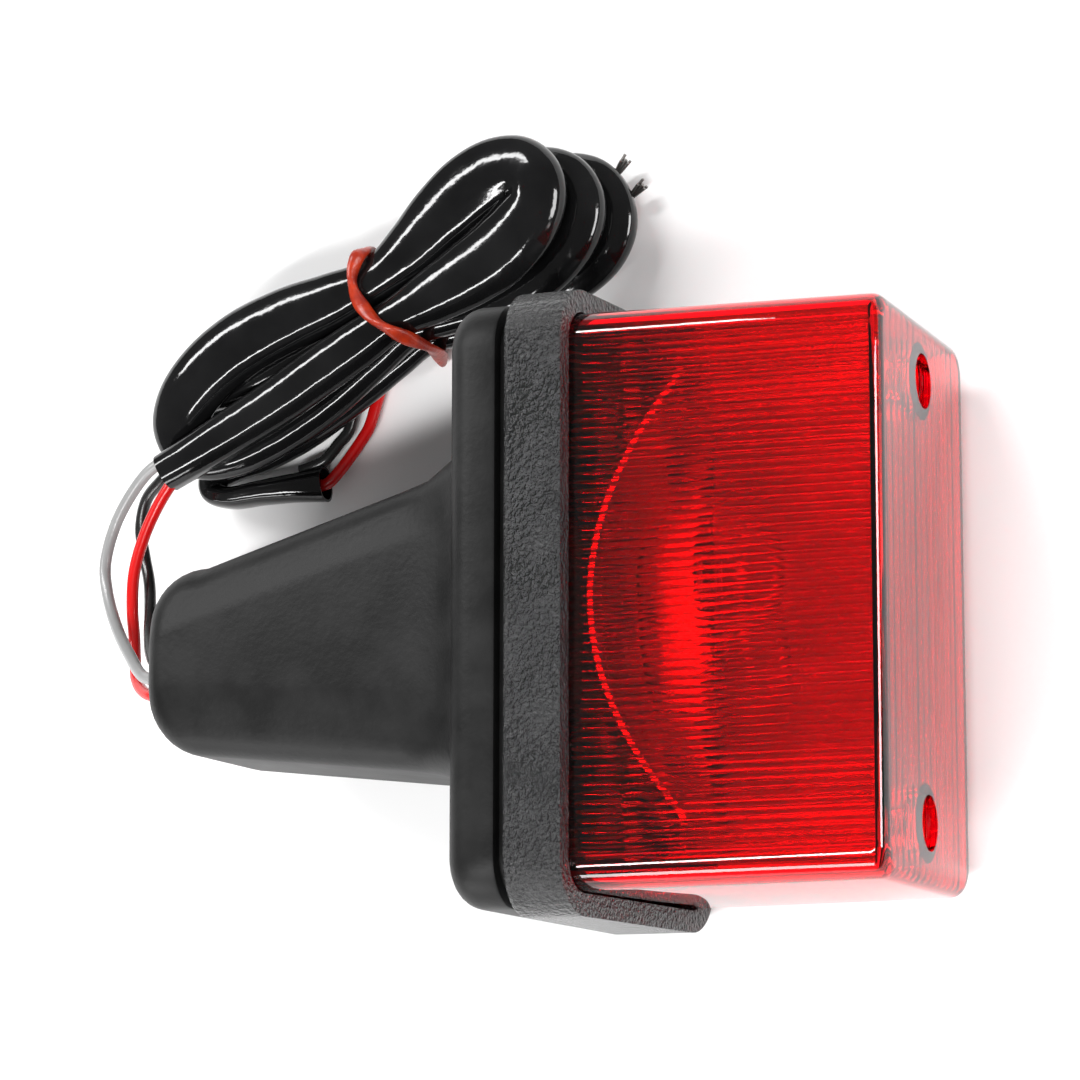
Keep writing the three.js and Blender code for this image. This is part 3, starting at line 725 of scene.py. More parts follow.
@dataclass
class Harness:
    """Three leads, the sleeve in its hank, the leads' far ends and the band, in millimetres."""

    wire: float = 2.2
    sleeve: float = 8.0
    sleeve_wall: float = 0.45
    sleeve_sides: int = 36
    sleeve_steps: int = 6
    lead_start: float = 2
    strands: int = 9
    strand: float = 0.55
    strand_extra: float = 2.6
    band_half: tuple = (1.35, 0.85)
    band_sides: int = 12
    band_steps: int = 8
    band_twists: int = 3
    centreline: list = field(default_factory=list)
    origin: tuple = (-70.4, 44.7)
    turn: float = 25.3
    foot: tuple = (-67.8, -5.2, 29.8)
    leads: dict = field(default_factory=lambda: {
        Wire.GREY: [(-68.2, -5.2, 31.2), (-71.5, -6.4, 31.2), (-76.3, -5.7, 29), (-81.2, -0.9, 25.5),
                    (-85.6, 4.6, 22), (-89.1, 11.8, 19.4), (-90, 17, 18.6), (-87.8, 24.3, 19), (-82.9, 30.8, 20.4),
                    (-79, 33.8, 21.4)],
        Wire.RED: [(-68.2, -6.7, 28.6), (-71.6, -8.4, 28.4), (-75.4, -8.8, 27), (-78.7, -7.6, 24.6),
                   (-81.5, -5, 21.8), (-83, -1.2, 19.6), (-83.8, 3.3, 18.6), (-84.4, 8.2, 18.4), (-83.9, 14.8, 19),
                   (-82, 20.9, 19.4), (-79.4, 26, 19.8), (-76, 30.6, 20.4)],
        Wire.BLACK: [(-68.2, -3.7, 28.6), (-71.4, -4.2, 28.6), (-74.6, -3.4, 27.4), (-77.4, -0.8, 24.4),
                     (-79.6, 3.2, 20.8), (-81.2, 7.6, 17.6), (-82.8, 13.6, 15), (-84.5, 18.9, 13.8), (-85.3, 24, 14),
                     (-83.4, 29, 15.6), (-79.4, 32, 17.6)],
    })
    into_sleeve: dict = field(default_factory=lambda: {
        Wire.GREY: [(-9.0, -6.6, 21.2), (-5.5, -6.5, 21.2), (-1.5, -6.4, 21.2)],
        Wire.RED: [(-8.6, -9.2, 20.0), (-5.5, -9.0, 19.8), (-1.5, -8.9, 19.7)],
        Wire.BLACK: [(-9.4, -7.0, 18.7), (-5.5, -6.4, 18.8), (-1.5, -6.4, 18.8)],
    })
    # The sleeve's route: along the hank, across it, height, and the section's width and height.
    route: tuple = (
        (-11.2, -7.8, 20.0, 7.4, 7.4), (-5, -7.7, 20.2, 7.8, 7.2), (4, -7.3, 20.2, 8.6, 7.0),
        (13, -6.9, 20.2, 9.2, 7.0), (22, -6.0, 20.2, 9.6, 6.8), (31, -5.0, 19.8, 9.4, 6.4),
        (39.7, -4.2, 19.4, 8.2, 6.2), (48, -4.4, 19.9, 10.6, 7.0), (56, -4.3, 20.2, 12.8, 7.4),
        (63, -3.5, 20.3, 13.6, 7.4), (69.0, -1.4, 20.4, 13.0, 7.4), (72.8, 1.4, 20.4, 11.4, 7.6),
        (73.9, 4.9, 20.4, 11.0, 7.8), (72.2, 8.2, 20.3, 11.8, 7.6), (68, 9.8, 20.2, 13.0, 7.4),
        (62.5, 9.6, 20.1, 13.6, 7.4), (56, 8.0, 20.1, 12.8, 7.4), (48, 5.5, 19.9, 10.6, 7.0),
        (39.7, 4.3, 19.4, 8.2, 6.2), (31, 4.8, 19.9, 10.2, 6.8), (22, 6.0, 20.2, 11.8, 7.2),
        (12, 6.5, 20.2, 12.4, 7.2), (4, 5.4, 19.8, 12.2, 7.2), (-2.6, 3.0, 18.8, 11.6, 7.0),
        (-6.4, 0.2, 17.0, 10.8, 6.4), (-7.4, -2.9, 14.8, 9.6, 6.2), (-5.2, -6.2, 13.1, 9.0, 6.4),
        (1, -8.4, 13.0, 9.2, 6.8), (8, -9.0, 13.0, 9.2, 6.8), (15, -8.8, 13.0, 9.2, 6.8),
        (22, -7.8, 13.0, 9.2, 6.6), (31, -5.8, 12.9, 9.0, 6.4), (39.7, -4.2, 12.7, 8.2, 6.2),
        (48, -5.4, 12.8, 9.2, 6.4), (56, -7.4, 12.9, 9.8, 6.8), (63, -8.2, 13.0, 10.2, 6.8),
        (70.2, -7.3, 13.1, 10.0, 7.0), (75.6, -4.6, 13.1, 9.6, 7.2), (78.3, -0.2, 13.1, 9.6, 7.2),
        (77.6, 4.9, 13.1, 9.6, 7.2), (73.6, 8.5, 13.0, 9.8, 7.0), (68, 9.8, 12.9, 10.0, 6.8),
        (62, 9.4, 12.8, 10.0, 6.8), (55, 8.0, 12.7, 9.6, 6.6), (48, 5.9, 12.7, 9.0, 6.4),
        (39.7, 4.3, 12.7, 8.2, 6.2), (31, 3.0, 13.8, 8.0, 6.2), (22, 1.2, 15.4, 7.2, 6.0),
        (13, 0.8, 15.6, 7.2, 6.0), (5, 2.6, 14.4, 7.6, 6.0), (-0.5, 4.8, 12.2, 8.2, 5.8),
        (-3.4, 5.8, 9.8, 9.2, 5.4), (-3.4, 5.8, 7.0, 9.2, 5.4), (-0.5, 6.4, 5.2, 9.0, 6.0),
        (5, 7.2, 4.7, 9.0, 6.6), (13, 7.6, 4.6, 9.2, 6.8), (22, 6.8, 4.8, 9.2, 6.6),
        (31, 5.4, 5.5, 9.0, 6.2), (39.7, 4.3, 6.0, 8.2, 6.0), (48, 5.7, 5.4, 9.0, 6.4),
        (56, 7.8, 4.8, 9.2, 6.6), (63, 9.0, 4.8, 9.2, 6.8), (70, 9.6, 5.3, 9.0, 6.6),
        (76.4, 8.2, 5.9, 8.8, 6.4), (80.8, 4.6, 6.2, 8.4, 6.4), (82.0, 0, 6.2, 8.2, 6.4),
        (80.6, -4.6, 6.0, 8.4, 6.6), (76.4, -7.8, 5.6, 8.8, 6.8), (70.4, -8.8, 5.0, 9.2, 6.8),
        (63, -8.4, 4.7, 9.2, 6.8), (55, -7.2, 4.9, 9.2, 6.6), (48, -5.7, 5.4, 9.0, 6.4),
        (39.7, -4.3, 6.0, 8.2, 6.0), (33, -5.0, 6.1, 9.0, 6.0), (26, -6.2, 6.1, 9.0, 6.0),
        (18, -7.2, 5.8, 9.0, 6.2), (10, -7.6, 5.0, 8.8, 6.4), (2, -7.4, 4.8, 8.2, 6.6),
        (-4.5, -7.0, 4.9, 6.6, 7.2), (-8.6, -7.8, 5.1, 4.6, 8.4), (-9.6, -10.2, 5.2, 4.0, 8.2),
        (-7.0, -12.6, 5.2, 4.0, 8.0), (-1.5, -14.6, 5.0, 4.4, 7.8), (4.5, -16.8, 4.6, 5.2, 7.4),
        (10.6, -19.2, 4.2, 6.6, 6.8),
    )
    tails: dict = field(default_factory=lambda: {
        Wire.RED: [(-57.4, 31.6, 4.4), (-54.6, 31.6, 4.2), (-52.4, 32, 4), (-50.4, 34, 3.6), (-48.2, 37, 3),
                   (-46, 40.4, 2.4), (-45, 42.4, 2)],
        Wire.BLACK: [(-57.6, 34.6, 4.5), (-55.4, 35.2, 4.4), (-53, 36.2, 4.2), (-51.8, 37.6, 3.8),
                     (-50.8, 39.2, 3.2), (-49.8, 40.6, 2.6), (-49.2, 41.6, 2.2)],
    })
    under_hank: dict = field(default_factory=lambda: {
        Wire.RED: [(25, -9.4, 1.5), (29, -5.4, 1.5), (34, -2.2, 2.2), (39.7, -1.2, 2.9), (46, -1.2, 2.2),
                   (54, -1.4, 1.3), (63, -1.6, 1.2), (72, -1.3, 1.2), (79, -0.6, 1.4), (83.5, -0.2, 2.0)],
        Wire.BLACK: [(20.5, -8.4, 1.5), (24.5, -4.2, 1.5), (31, 0.2, 1.6), (39.7, 1.3, 2.9), (46, 1.3, 2.2),
                     (54, 1.4, 1.3), (63, 1.8, 1.2), (72, 2.8, 1.2), (78, 3.9, 1.4), (82.6, 4.6, 2.0)],
    })
    tips: dict = field(default_factory=lambda: {Wire.RED: (7.4, 81.6, 3.0), Wire.BLACK: (4.4, 86.2, 3.0)})
    band_route: tuple = (
        (40.3, 9.2, 21.0), (39.6, 8.2, 23.3), (37.4, 5.2, 24.1), (36.4, 2.0, 23.9), (36.7, -1.2, 23.7),
        (37.8, -4.6, 23.9), (39.6, -7.6, 23.4), (40.9, -9.2, 21.4), (41.6, -9.6, 17.0), (41.6, -9.6, 11.0),
        (41.0, -9.6, 6.0), (40.2, -9.0, 2.6), (39.8, -7.0, 1.2), (39.7, -2.5, 1.0), (39.7, 2.5, 1.0),
        (39.7, 7.0, 1.2), (39.8, 9.2, 2.6), (40.2, 9.6, 6.0), (40.5, 9.7, 11.0), (40.5, 9.7, 17.0),
    )

    def place(self, u: float, v: float, z: float) -> Vector:
        """A point of the hank.

        Args:
            u: the way along the hank, in millimetres.
            v: the way across it.
            z: the height.

        Returns:
            The point as metres in the frame.
        """
        angle = math.radians(self.turn)
        x = self.origin[0] + u * math.cos(angle) - v * math.sin(angle)
        y = self.origin[1] + u * math.sin(angle) + v * math.cos(angle)
        return Vector((x, y, z)) * MM

    def build(self) -> None:
        """Makes every piece of the harness."""
        sleeve = self.build_sleeve()
        band = self.build_band()
        for wire, look in ((Wire.GREY, GREY_WIRE), (Wire.RED, RED_WIRE), (Wire.BLACK, BLACK_WIRE)):
            self.build_lead(wire, look)
            if wire in self.tails:
                self.build_tail(wire, look)

    def build_lead(self, wire: Wire, look: Finish) -> None:
        """One lead, from the stem's foot to inside the sleeve.

        Args:
            wire: which lead.
            look: its insulation's finish.
        """
        inside = [self.place(*point) for point in self.into_sleeve[wire]]
        first, *others = [Vector(p) * MM for p in self.leads[wire]]
        start = first + Vector((self.lead_start * MM, 0, 0))
        points = through([start, *others, *inside], 8)
        lead = wire_along(f"lead_{wire.value}_wire", points, self.wire)
        finish_piece(lead, look, "lamp_body", f"lead_{wire.value}")

    def build_tail(self, wire: Wire, look: Finish) -> None:
        """A lead's far end, out of the sleeve's second mouth and under the hank, with its bare strands.

        Args:
            wire: which lead.
            look: its insulation's finish.
        """
        tip = Vector(self.tips[wire]) * MM
        outside = [Vector(p) * MM for p in self.tails[wire]]
        hidden = [self.place(*point) for point in self.under_hank[wire]]
        points = through([*outside, *hidden], 6)
        tail = wire_along(f"tail_{wire.value}_wire", points, self.wire)
        finish_piece(tail, look, "lamp_body", f"tail_{wire.value}")
        strands = self.build_strands(wire, points[-1], tip)

    def build_strands(self, wire: Wire, start: Vector, tip: Vector) -> bpy.types.Object:
        """The bare strands at a tail's end, splayed a little, as one mesh.

        Args:
            wire: which lead.
            start: where the insulation ends.
            tip: where the strands point to.

        Returns:
            The strands.
        """
        along = (tip - start).normalized()
        side = along.cross(Vector((0, 0, 1))).normalized()
        up = side.cross(along)
        reach = (tip - start).length + self.strand_extra * MM
        made = []
        for i in range(self.strands):
            angle = 2.4 * i
            spread = 0.22 * math.sqrt(i)
            offset = side * math.cos(angle) * spread + up * math.sin(angle) * spread
            end = start + along * reach * (0.9 + 0.1 * math.sin(5.1 * i)) + offset * 1.7 * MM
            middle = start + along * reach * 0.5 + offset * 1.1 * MM
            strand = wire_along("strand", through([start - along * MM, middle, end], 4), self.strand)
            focus(strand)
            bpy.ops.object.convert(target="MESH")
            made.append(bpy.context.object)
        deselect_all()
        for strand in made:
            strand.select_set(True)
        bpy.context.view_layer.objects.active = made[0]
        bpy.ops.object.join()
        piece = bpy.context.object
        piece.name = piece.data.name = f"strands_{wire.value}_bare"
        return finish_piece(piece, TINNED, "lamp_body", f"strands_{wire.value}")

    def build_sleeve(self) -> bpy.types.Object:
        """The sleeve as a hollow tube whose section flattens along its route, open at both ends.

        Returns:
            The sleeve.
        """
        spine = through([self.place(*stop[:3]) for stop in self.route], self.sleeve_steps)
        self.centreline = spine
        sizes = through([(stop[3], stop[4], 0) for stop in self.route], self.sleeve_steps)
        rings = []
        side = Vector((0, 1, 0))
        for i, (centre, size) in enumerate(zip(spine, sizes)):
            ahead = (spine[min(i + 1, len(spine) - 1)] - spine[max(i - 1, 0)]).normalized()
            level = Vector((0, 0, 1)).cross(ahead)
            if level.length > 0.35:
                level.normalize()
                side = (side - ahead * side.dot(ahead)).normalized()
                side = side.lerp(level if level.dot(side) > 0 else -level, 0.6)
            side = (side - ahead * side.dot(ahead)).normalized()
            up = ahead.cross(side)
            rings.append(self.section(centre, side, up, size, i))
        sleeve = sweep("harness_sleeve", rings)
        enter_edit(sleeve)
        leave_edit(outward=True)
        apply_modifier(sleeve, "SOLIDIFY", thickness=self.sleeve_wall * MM, offset=-1)
        smooth(sleeve, 60)
        return finish_piece(sleeve, SLEEVE_PVC, "lamp_body", "sleeve_hank", "sleeve_end")

    def section(self, centre: Vector, side: Vector, up: Vector, size: Vector, index: int) -> list:
        """One ring of the sleeve: a squashed round with slow folds along the length.

        Args:
            centre: the ring's middle.
            side: the direction across it.
            up: the direction of its height.
            size: its width and height in millimetres.
            index: which ring it is.

        Returns:
            The ring's points.
        """
        ring = []
        for k in range(self.sleeve_sides):
            angle = 2 * math.pi * k / self.sleeve_sides
            around = Vector((math.cos(angle), math.sin(angle), 0.02 * index))
            fold = 1 + 0.05 * noise.noise(Vector((around.x * 1.3, around.y * 1.3, index * 0.035)))
            fold -= 0.06 * max(0.0, math.cos(2 * angle - 0.02 * index)) ** 6
            across = abs(math.cos(angle)) ** 0.9 * math.copysign(1, math.cos(angle))
            high = abs(math.sin(angle)) ** 0.9 * math.copysign(1, math.sin(angle))
            ring.append(centre + side * across * fold * size.x / 2 * MM
                        + up * high * fold * size.y / 2 * MM)
        return ring

    def build_band(self) -> bpy.types.Object:
        """The elastic band: a flat strand, twisted round the hank and closed on itself.

        Returns:
            The band.
        """
        stops = [self.place(*point) for point in self.band_route]
        looped = [*stops[-2:], *stops, *stops[:2]]
        steps = self.band_steps
        spine = through(looped, steps)[2 * steps:(2 + len(stops)) * steps]
        middle = sum(spine, Vector()) / len(spine)
        wide, thick = self.band_half
        rings = []
        for i, centre in enumerate(spine):
            ahead = (spine[(i + 1) % len(spine)] - spine[i - 1]).normalized()
            outward = (centre - middle).normalized()
            outward = (outward - ahead * outward.dot(ahead)).normalized()
            across = ahead.cross(outward)
            twist = Matrix.Rotation(2 * math.pi * self.band_twists * i / len(spine), 2)
            ring = []
            for k in range(self.band_sides):
                angle = 2 * math.pi * k / self.band_sides
                flat = twist @ Vector((wide * math.cos(angle), thick * math.sin(angle)))
                ring.append(centre + (across * flat.x + outward * flat.y) * MM)
            rings.append(ring)
        band = sweep("hank_elastic_band", rings, closed=True)
        enter_edit(band)
        leave_edit(outward=True)
        return finish_piece(band, BAND_RUBBER, "lamp_body", "hank_band")


# ---- lens and its screws ----


@dataclass
class Lens:
    """The ribbed red lens and what fastens it.

    Millimetres, from the housing's back and the lamp's axis. A profile is (place along X, radius) pairs.
    """

    length: float = 96
    height: float = 52.7
    corner: float = 5.5
    back: float = 7.2
    front: float = 63.3
    edge: float = 2.5
    wall: float = 2.2
    draft: float = 0.012
    screw_spacing: float = 73.5
    post: float = 13
    post_back: float = 12.3
    counterbore: float = 9.3
    counterbore_floor: float = 55.9
    screw_hole: float = 4.6
    flute: float = 1.55
    flute_depth: float = 0.34
    rib: float = 3.2
    rib_depth: float = 0.3
    rise: tuple = (0, 0.7, 1, 0.7)
    cusp_angle: float = 27
    screw_profile: tuple = (
        (5.7, 1.4), (6.5, 2.0), (57.5, 2.0), (57.51, 4.1), (59.2, 4.1), (59.8, 3.7), (60.1, 2.6))
    recess_back: float = 58.7
    recess_half: tuple = (2.45, 0.6)
    seal_profile: tuple = ((56.2, 3.9), (56.4, 4.2), (57.0, 4.2), (57.2, 3.9))
    gasket_back: float = 5.5
    gasket_front: float = 6.9
    gasket_width: float = 3.4

    def build(self) -> None:
        """Makes the lens, the screws, the sealing washers and the gasket."""
        self.build_lens()
        for name, side in NAMED_SIDES:
            self.build_screw(name, side * self.screw_spacing / 2)
        self.build_gasket()

    def tapered_block(self, name: str, inset: float, from_x: float, to_x: float) -> bpy.types.Object:
        """A box that narrows to the front as the lens does.

        Args:
            name: the box's name.
            inset: how far its sides lie inside the lens's outside.
            from_x: its back.
            to_x: its front.

        Returns:
            The box.
        """
        piece = lamp_block(name, self.length - 2 * inset, self.height - 2 * inset, from_x, to_x)
        lessen = 2 * self.draft * (to_x - self.back)
        centre = lamp_point(to_x, 0, 0)
        shares = (1, 1 - lessen / self.length, 1 - lessen / self.height)
        scale_at(piece, centre.x, shares, centre)
        return piece

    def build_lens(self) -> None:
        """The shell: smooth outside, fluted inside, with two posts and their counterbores."""
        lens = self.tapered_block("ribbed_lens", 0, self.back, self.front)
        round_corners_x(lens, self.corner, 8)
        round_end(lens, Axis.X, lamp_point(self.front, 0, 0).x, self.edge, 6)
        cut(lens, self.build_core())
        for side in SIDES:
            y = side * self.screw_spacing / 2
            hole, wide = self.screw_hole / 2, self.counterbore / 2
            cut(lens, turn("bore", [(self.back - 2, hole), (self.counterbore_floor, hole),
                                    (self.counterbore_floor + 0.01, wide), (self.front + 1, wide)], y))
        smooth(lens, self.cusp_angle)
        finish_piece(lens, RED_LENS, "lens", "lens")

    def build_core(self) -> bpy.types.Object:
        """What is cut out of the lens: a box with flutes along its sides and ribs across its front.

        Returns:
            The core.
        """
        front = self.front - self.wall
        core = self.tapered_block("core", self.wall, self.back - 4, front)
        ends = self.half_sizes(core)
        self.flute_sides(core, Axis.Y, Axis.Z, ends)
        self.flute_sides(core, Axis.Z, Axis.Y, ends)
        hull = self.tapered_block("hull", self.wall - self.flute_depth, self.back - 3, front + 2)
        round_corners_x(hull, self.corner - self.wall, 6)
        combine(core, [hull], "INTERSECT")
        combine(core, [self.build_comb(front)], "INTERSECT")
        for side in SIDES:
            cut(core, rod("post", self.post, self.post_back, self.front, side * self.screw_spacing / 2))
        return core

    def half_sizes(self, core: bpy.types.Object) -> tuple:
        """The core's half sizes at its two ends.

        Args:
            core: the tapered box.

        Returns:
            (x, half of Y, half of Z) in metres for its back, and the same for its front.
        """
        middle = lamp_point(0, 0, 0)
        points = [v.co.copy() for v in core.data.vertices]
        ends = []
        for x in (min(p.x for p in points), max(p.x for p in points)):
            at = [p for p in points if abs(p.x - x) < SAME]
            ends.append((x, max(abs(p.y - middle.y) for p in at), max(abs(p.z - middle.z) for p in at)))
        return tuple(ends)

    def flute_sides(self, core: bpy.types.Object, along: Axis, outward: Axis, ends: tuple) -> None:
        """Cuts the edges that run along one axis into flutes, and lifts them outward in a half round.

        Args:
            core: the tapered box.
            along: the axis that the edges run along.
            outward: the axis that they are lifted along.
            ends: the core's half sizes at its back and its front.
        """
        reach = (self.length if along is Axis.Y else self.height) - 2 * self.wall
        flutes = round(reach / self.flute)
        count = len(self.rise) * flutes
        a, o = along.value, outward.value
        middle = lamp_point(0, 0, 0)
        back, front = ends

        def phase_of(vertex: bmesh.types.BMVert) -> int:
            """Which step of its flute a vertex stands on, or -1 at a corner."""
            half = back[a] + (vertex.co.x - back[0]) / (front[0] - back[0]) * (front[a] - back[a])
            off = vertex.co[a] - middle[a]
            if abs(off) >= half * 0.9995:
                return -1
            return round(off / (2 * half / count) + count / 2) % len(self.rise)

        enter_edit(core)
        spans = [abs(v.co[o] - middle[o]) for v in bmesh.from_edit_mesh(core.data).verts]
        limit = min(s for s in spans if s > max(spans) * 0.9) * 0.999
        select_in_edit(core, "EDGE", lambda e: (
            all(abs(v.co[o] - middle[o]) > limit for v in e.verts)
            and abs(e.verts[0].co[a] - e.verts[1].co[a]) > reach * MM * 0.9))
        bpy.ops.mesh.subdivide(number_cuts=flutes - 1)
        select_in_edit(core, "EDGE", lambda e: (
            all(abs(v.co[o] - middle[o]) > limit for v in e.verts)
            and abs(e.verts[0].co[a] - e.verts[1].co[a]) > self.flute * MM * 0.5))
        bpy.ops.mesh.subdivide(number_cuts=len(self.rise) - 1)
        for side in SIDES:
            for phase, rise in enumerate(self.rise):
                if rise == 0:
                    continue
                select_in_edit(core, "VERT", lambda v, s=side, p=phase: (
                    s * (v.co[o] - middle[o]) > limit and phase_of(v) == p))
                shift = [0.0, 0.0, 0.0]
                shift[o] = side * rise * self.flute_depth * MM
                bpy.ops.transform.translate(value=shift)
        leave_edit()

    def build_comb(self, front: float) -> bpy.types.Object:
        """A block whose front is ribbed across the lamp, for the lens's front wall.

        Args:
            front: where its front lies, in millimetres.

        Returns:
            The block.
        """
        comb = lamp_block("comb", self.length, self.height, self.back - 5, front)
        rows = len(self.rise) * round(self.height / self.rib)
        at = lamp_point(front, 0, 0).x
        low = lamp_point(0, 0, -self.height / 2).z
        step = self.height / rows * MM
        enter_edit(comb)
        select_in_edit(comb, "EDGE", lambda e: (
            all(abs(v.co.x - at) < SAME for v in e.verts)
            and abs(e.verts[0].co.z - e.verts[1].co.z) > 10 * MM))
        bpy.ops.mesh.subdivide(number_cuts=rows - 1)
        for phase, rise in enumerate(self.rise):
            select_in_edit(comb, "VERT", lambda v, p=phase: (
                abs(v.co.x - at) < SAME and round((v.co.z - low) / step) % len(self.rise) == p))
            bpy.ops.transform.translate(value=(-(1 - rise) * self.rib_depth * MM - 1e-5, 0, 0))
        leave_edit()
        return comb

    def build_screw(self, name: str, y: float) -> None:
        """A pan-head screw with a cross recess, and its sealing washer.

        Args:
            name: upper or lower.
            y: the screw's place along the lamp.
        """
        screw = turn(f"lens_screw_{name}_head", self.screw_profile, y)
        long, wide = self.recess_half
        for angle in (45, -45):
            slot = block("slot", lamp_point(self.recess_back, y - long, -wide),
                         lamp_point(61, y + long, wide))
            focus(slot)
            bpy.ops.transform.rotate(value=math.radians(angle), orient_axis="X",
                                     center_override=lamp_point(60, y, 0))
            freeze(slot)
            cut(screw, slot)
        soften(screw, 0.12)
        smooth(screw)
        finish_piece(screw, STEEL, f"lens_screw_{name}", f"lens_screw_{name}")
        seal = turn(f"screw_seal_{name}_washer", self.seal_profile, y)
        cut(seal, rod("hole", self.screw_hole, 50, 60, y))
        smooth(seal)
        finish_piece(seal, SEAL_RUBBER, "lens", f"screw_seal_{name}")

    def build_gasket(self) -> None:
        """The flat gasket under the lens's edge."""
        long, high = self.length - 2 * GAP, self.height - 2 * GAP
        gasket = lamp_block("lens_gasket_ring", long, high, self.gasket_back, self.gasket_front)
        round_corners_x(gasket, self.corner, 8)
        inner = 2 * self.gasket_width
        hole = lamp_block("hole", long - inner, high - inner, self.gasket_back - 1.5,
                          self.gasket_front + 1.1)
        round_corners_x(hole, 2.5, 6)
        cut(gasket, hole)
        soften(gasket, 0.25)
        smooth(gasket)
        finish_piece(gasket, SEAL_RUBBER, "lens", "lens_gasket")


# ---- housing and reflector ----


@dataclass
class Housing:
    """The grained housing, and the reflector in it, in millimetres."""

    length: float = 104
    height: float = 59.6
    corner: float = 9
    floor: float = 2.6
    rim_near: float = 10.2
    rim_far: float = 15.9
    pocket_length: float = 96.4
    pocket_height: float = 53.1
    ledge: float = 5.2
    ledge_width: float = 4.2
    boss: float = 10.4
    boss_top: float = 12
    insert_hole: float = 7.6
    screw_spacing: float = 73.5
    bolt_hole: float = 5.6
    bolt_spread: float = 52
    holder_hole: float = 17.6
    tab_x: tuple = (0.8, 3.4)
    tab_y: tuple = (-1.2, 1.6)
    tab_rise: float = 0.25
    bowl_vertex: float = 7.0
    bowl_focal: float = 20.6
    bowl_wall: float = 0.8
    bowl_mouth: float = 13.7
    bowl_reach: float = 45.6
    bowl_steps: int = 14
    bowl_length: float = 73.5
    bowl_height: float = 47
    bowl_sides: int = 96
    post_room: float = 14.6

    def build(self) -> None:
        """Makes the housing and the reflector."""
        self.build_housing()
        self.build_reflector()

    def build_housing(self) -> None:
        """The tray with its sloping rim, ledge, bosses and holes."""
        housing = lamp_block("grained_housing", self.length, self.height, 0, self.rim_far + 6)
        round_corners_x(housing, self.corner, 10)
        round_end(housing, Axis.X, lamp_point(0, 0, 0).x, 1.0, 3)
        self.slope_rim(housing)
        top = self.height / 2
        tab = block("tab", lamp_point(self.tab_x[0], self.tab_y[0], top - 1),
                    lamp_point(self.tab_x[1], self.tab_y[1], top + self.tab_rise))
        round_corners(tab, Axis.Z, 1.1, 5)
        add(housing, tab)
        pocket = lamp_block("pocket", self.pocket_length, self.pocket_height, self.ledge, 40)
        round_corners_x(pocket, 5.5, 8)
        tray = lamp_block("tray", self.pocket_length - 2 * self.ledge_width,
                          self.pocket_height - 2 * self.ledge_width, self.floor, 40)
        round_corners_x(tray, 4, 6)
        cut(housing, pocket, tray)
        for side in SIDES:
            add(housing, rod("boss", self.boss, self.floor - 1, self.boss_top,
                             side * self.screw_spacing / 2))
        for side in SIDES:
            screw_y, bolt_y = side * self.screw_spacing / 2, side * self.bolt_spread / 2
            cut(housing, rod("insert_hole", self.insert_hole, 3.9, self.boss_top + 1, screw_y),
                rod("bolt_hole", self.bolt_hole, -1, self.floor + 1, bolt_y))
        cut(housing, rod("holder_hole", self.holder_hole, -1, self.floor + 1))
        soften(housing, 0.45, 3)
        smooth(housing)
        finish_piece(housing, HOUSING_PLASTIC, "lamp_body", "housing")

    def slope_rim(self, housing: bpy.types.Object) -> None:
        """Cuts the rim on a slope and closes the cut.

        Args:
            housing: the block that becomes the housing.
        """
        middle = lamp_point((self.rim_near + self.rim_far) / 2, 0, 0)
        slope = math.atan2(self.rim_far - self.rim_near, self.height)
        enter_edit(housing, everything=True)
        bpy.ops.mesh.bisect(plane_co=middle, plane_no=(math.cos(slope), 0, math.sin(slope)),
                            use_fill=True, clear_outer=True)
        leave_edit()

    def build_reflector(self) -> None:
        """The aluminised bowl, drawn out of a circle and trimmed to its rectangle."""
        mouth, last = self.bowl_mouth, self.bowl_steps - 1
        radii = [mouth + (self.bowl_reach - mouth) * i / last for i in range(self.bowl_steps)]
        face = [(self.bowl_vertex + r * r / (4 * self.bowl_focal), r) for r in radii]
        deselect_all()
        bpy.ops.mesh.primitive_circle_add(
            vertices=self.bowl_sides, radius=mouth * MM, fill_type="NOTHING",
            location=lamp_point(face[0][0], 0, 0), rotation=(0, math.pi / 2, 0))
        bowl = just_made("aluminised_reflector")
        enter_edit(bowl, everything=True)
        for (x0, r0), (x1, r1) in zip(face, face[1:]):
            draw_out(((x1 - x0) * MM, 0, 0), (1, r1 / r0, r1 / r0), lamp_point(x1, 0, 0))
        leave_edit(outward=True)
        offset = -1 if bowl.data.polygons[0].normal.x > 0 else 1
        apply_modifier(bowl, "SOLIDIFY", thickness=self.bowl_wall * MM, offset=offset)
        outline = lamp_block("outline", self.bowl_length, self.bowl_height, 0, 60)
        round_corners_x(outline, 2, 5)
        combine(bowl, [outline], "INTERSECT")
        for side in SIDES:
            cut(bowl, rod("post_room", self.post_room, 0, 60, side * self.screw_spacing / 2))
        neck = rod("neck", 29.8, 2.9, 8.9, sides=self.bowl_sides)
        cut(neck, rod("neck_bore", 2 * mouth, 0, 20, sides=self.bowl_sides))
        add(bowl, neck)
        smooth(bowl)
        finish_piece(bowl, MIRROR, "lamp_body", "reflector")


# ---- bulb and holder ----


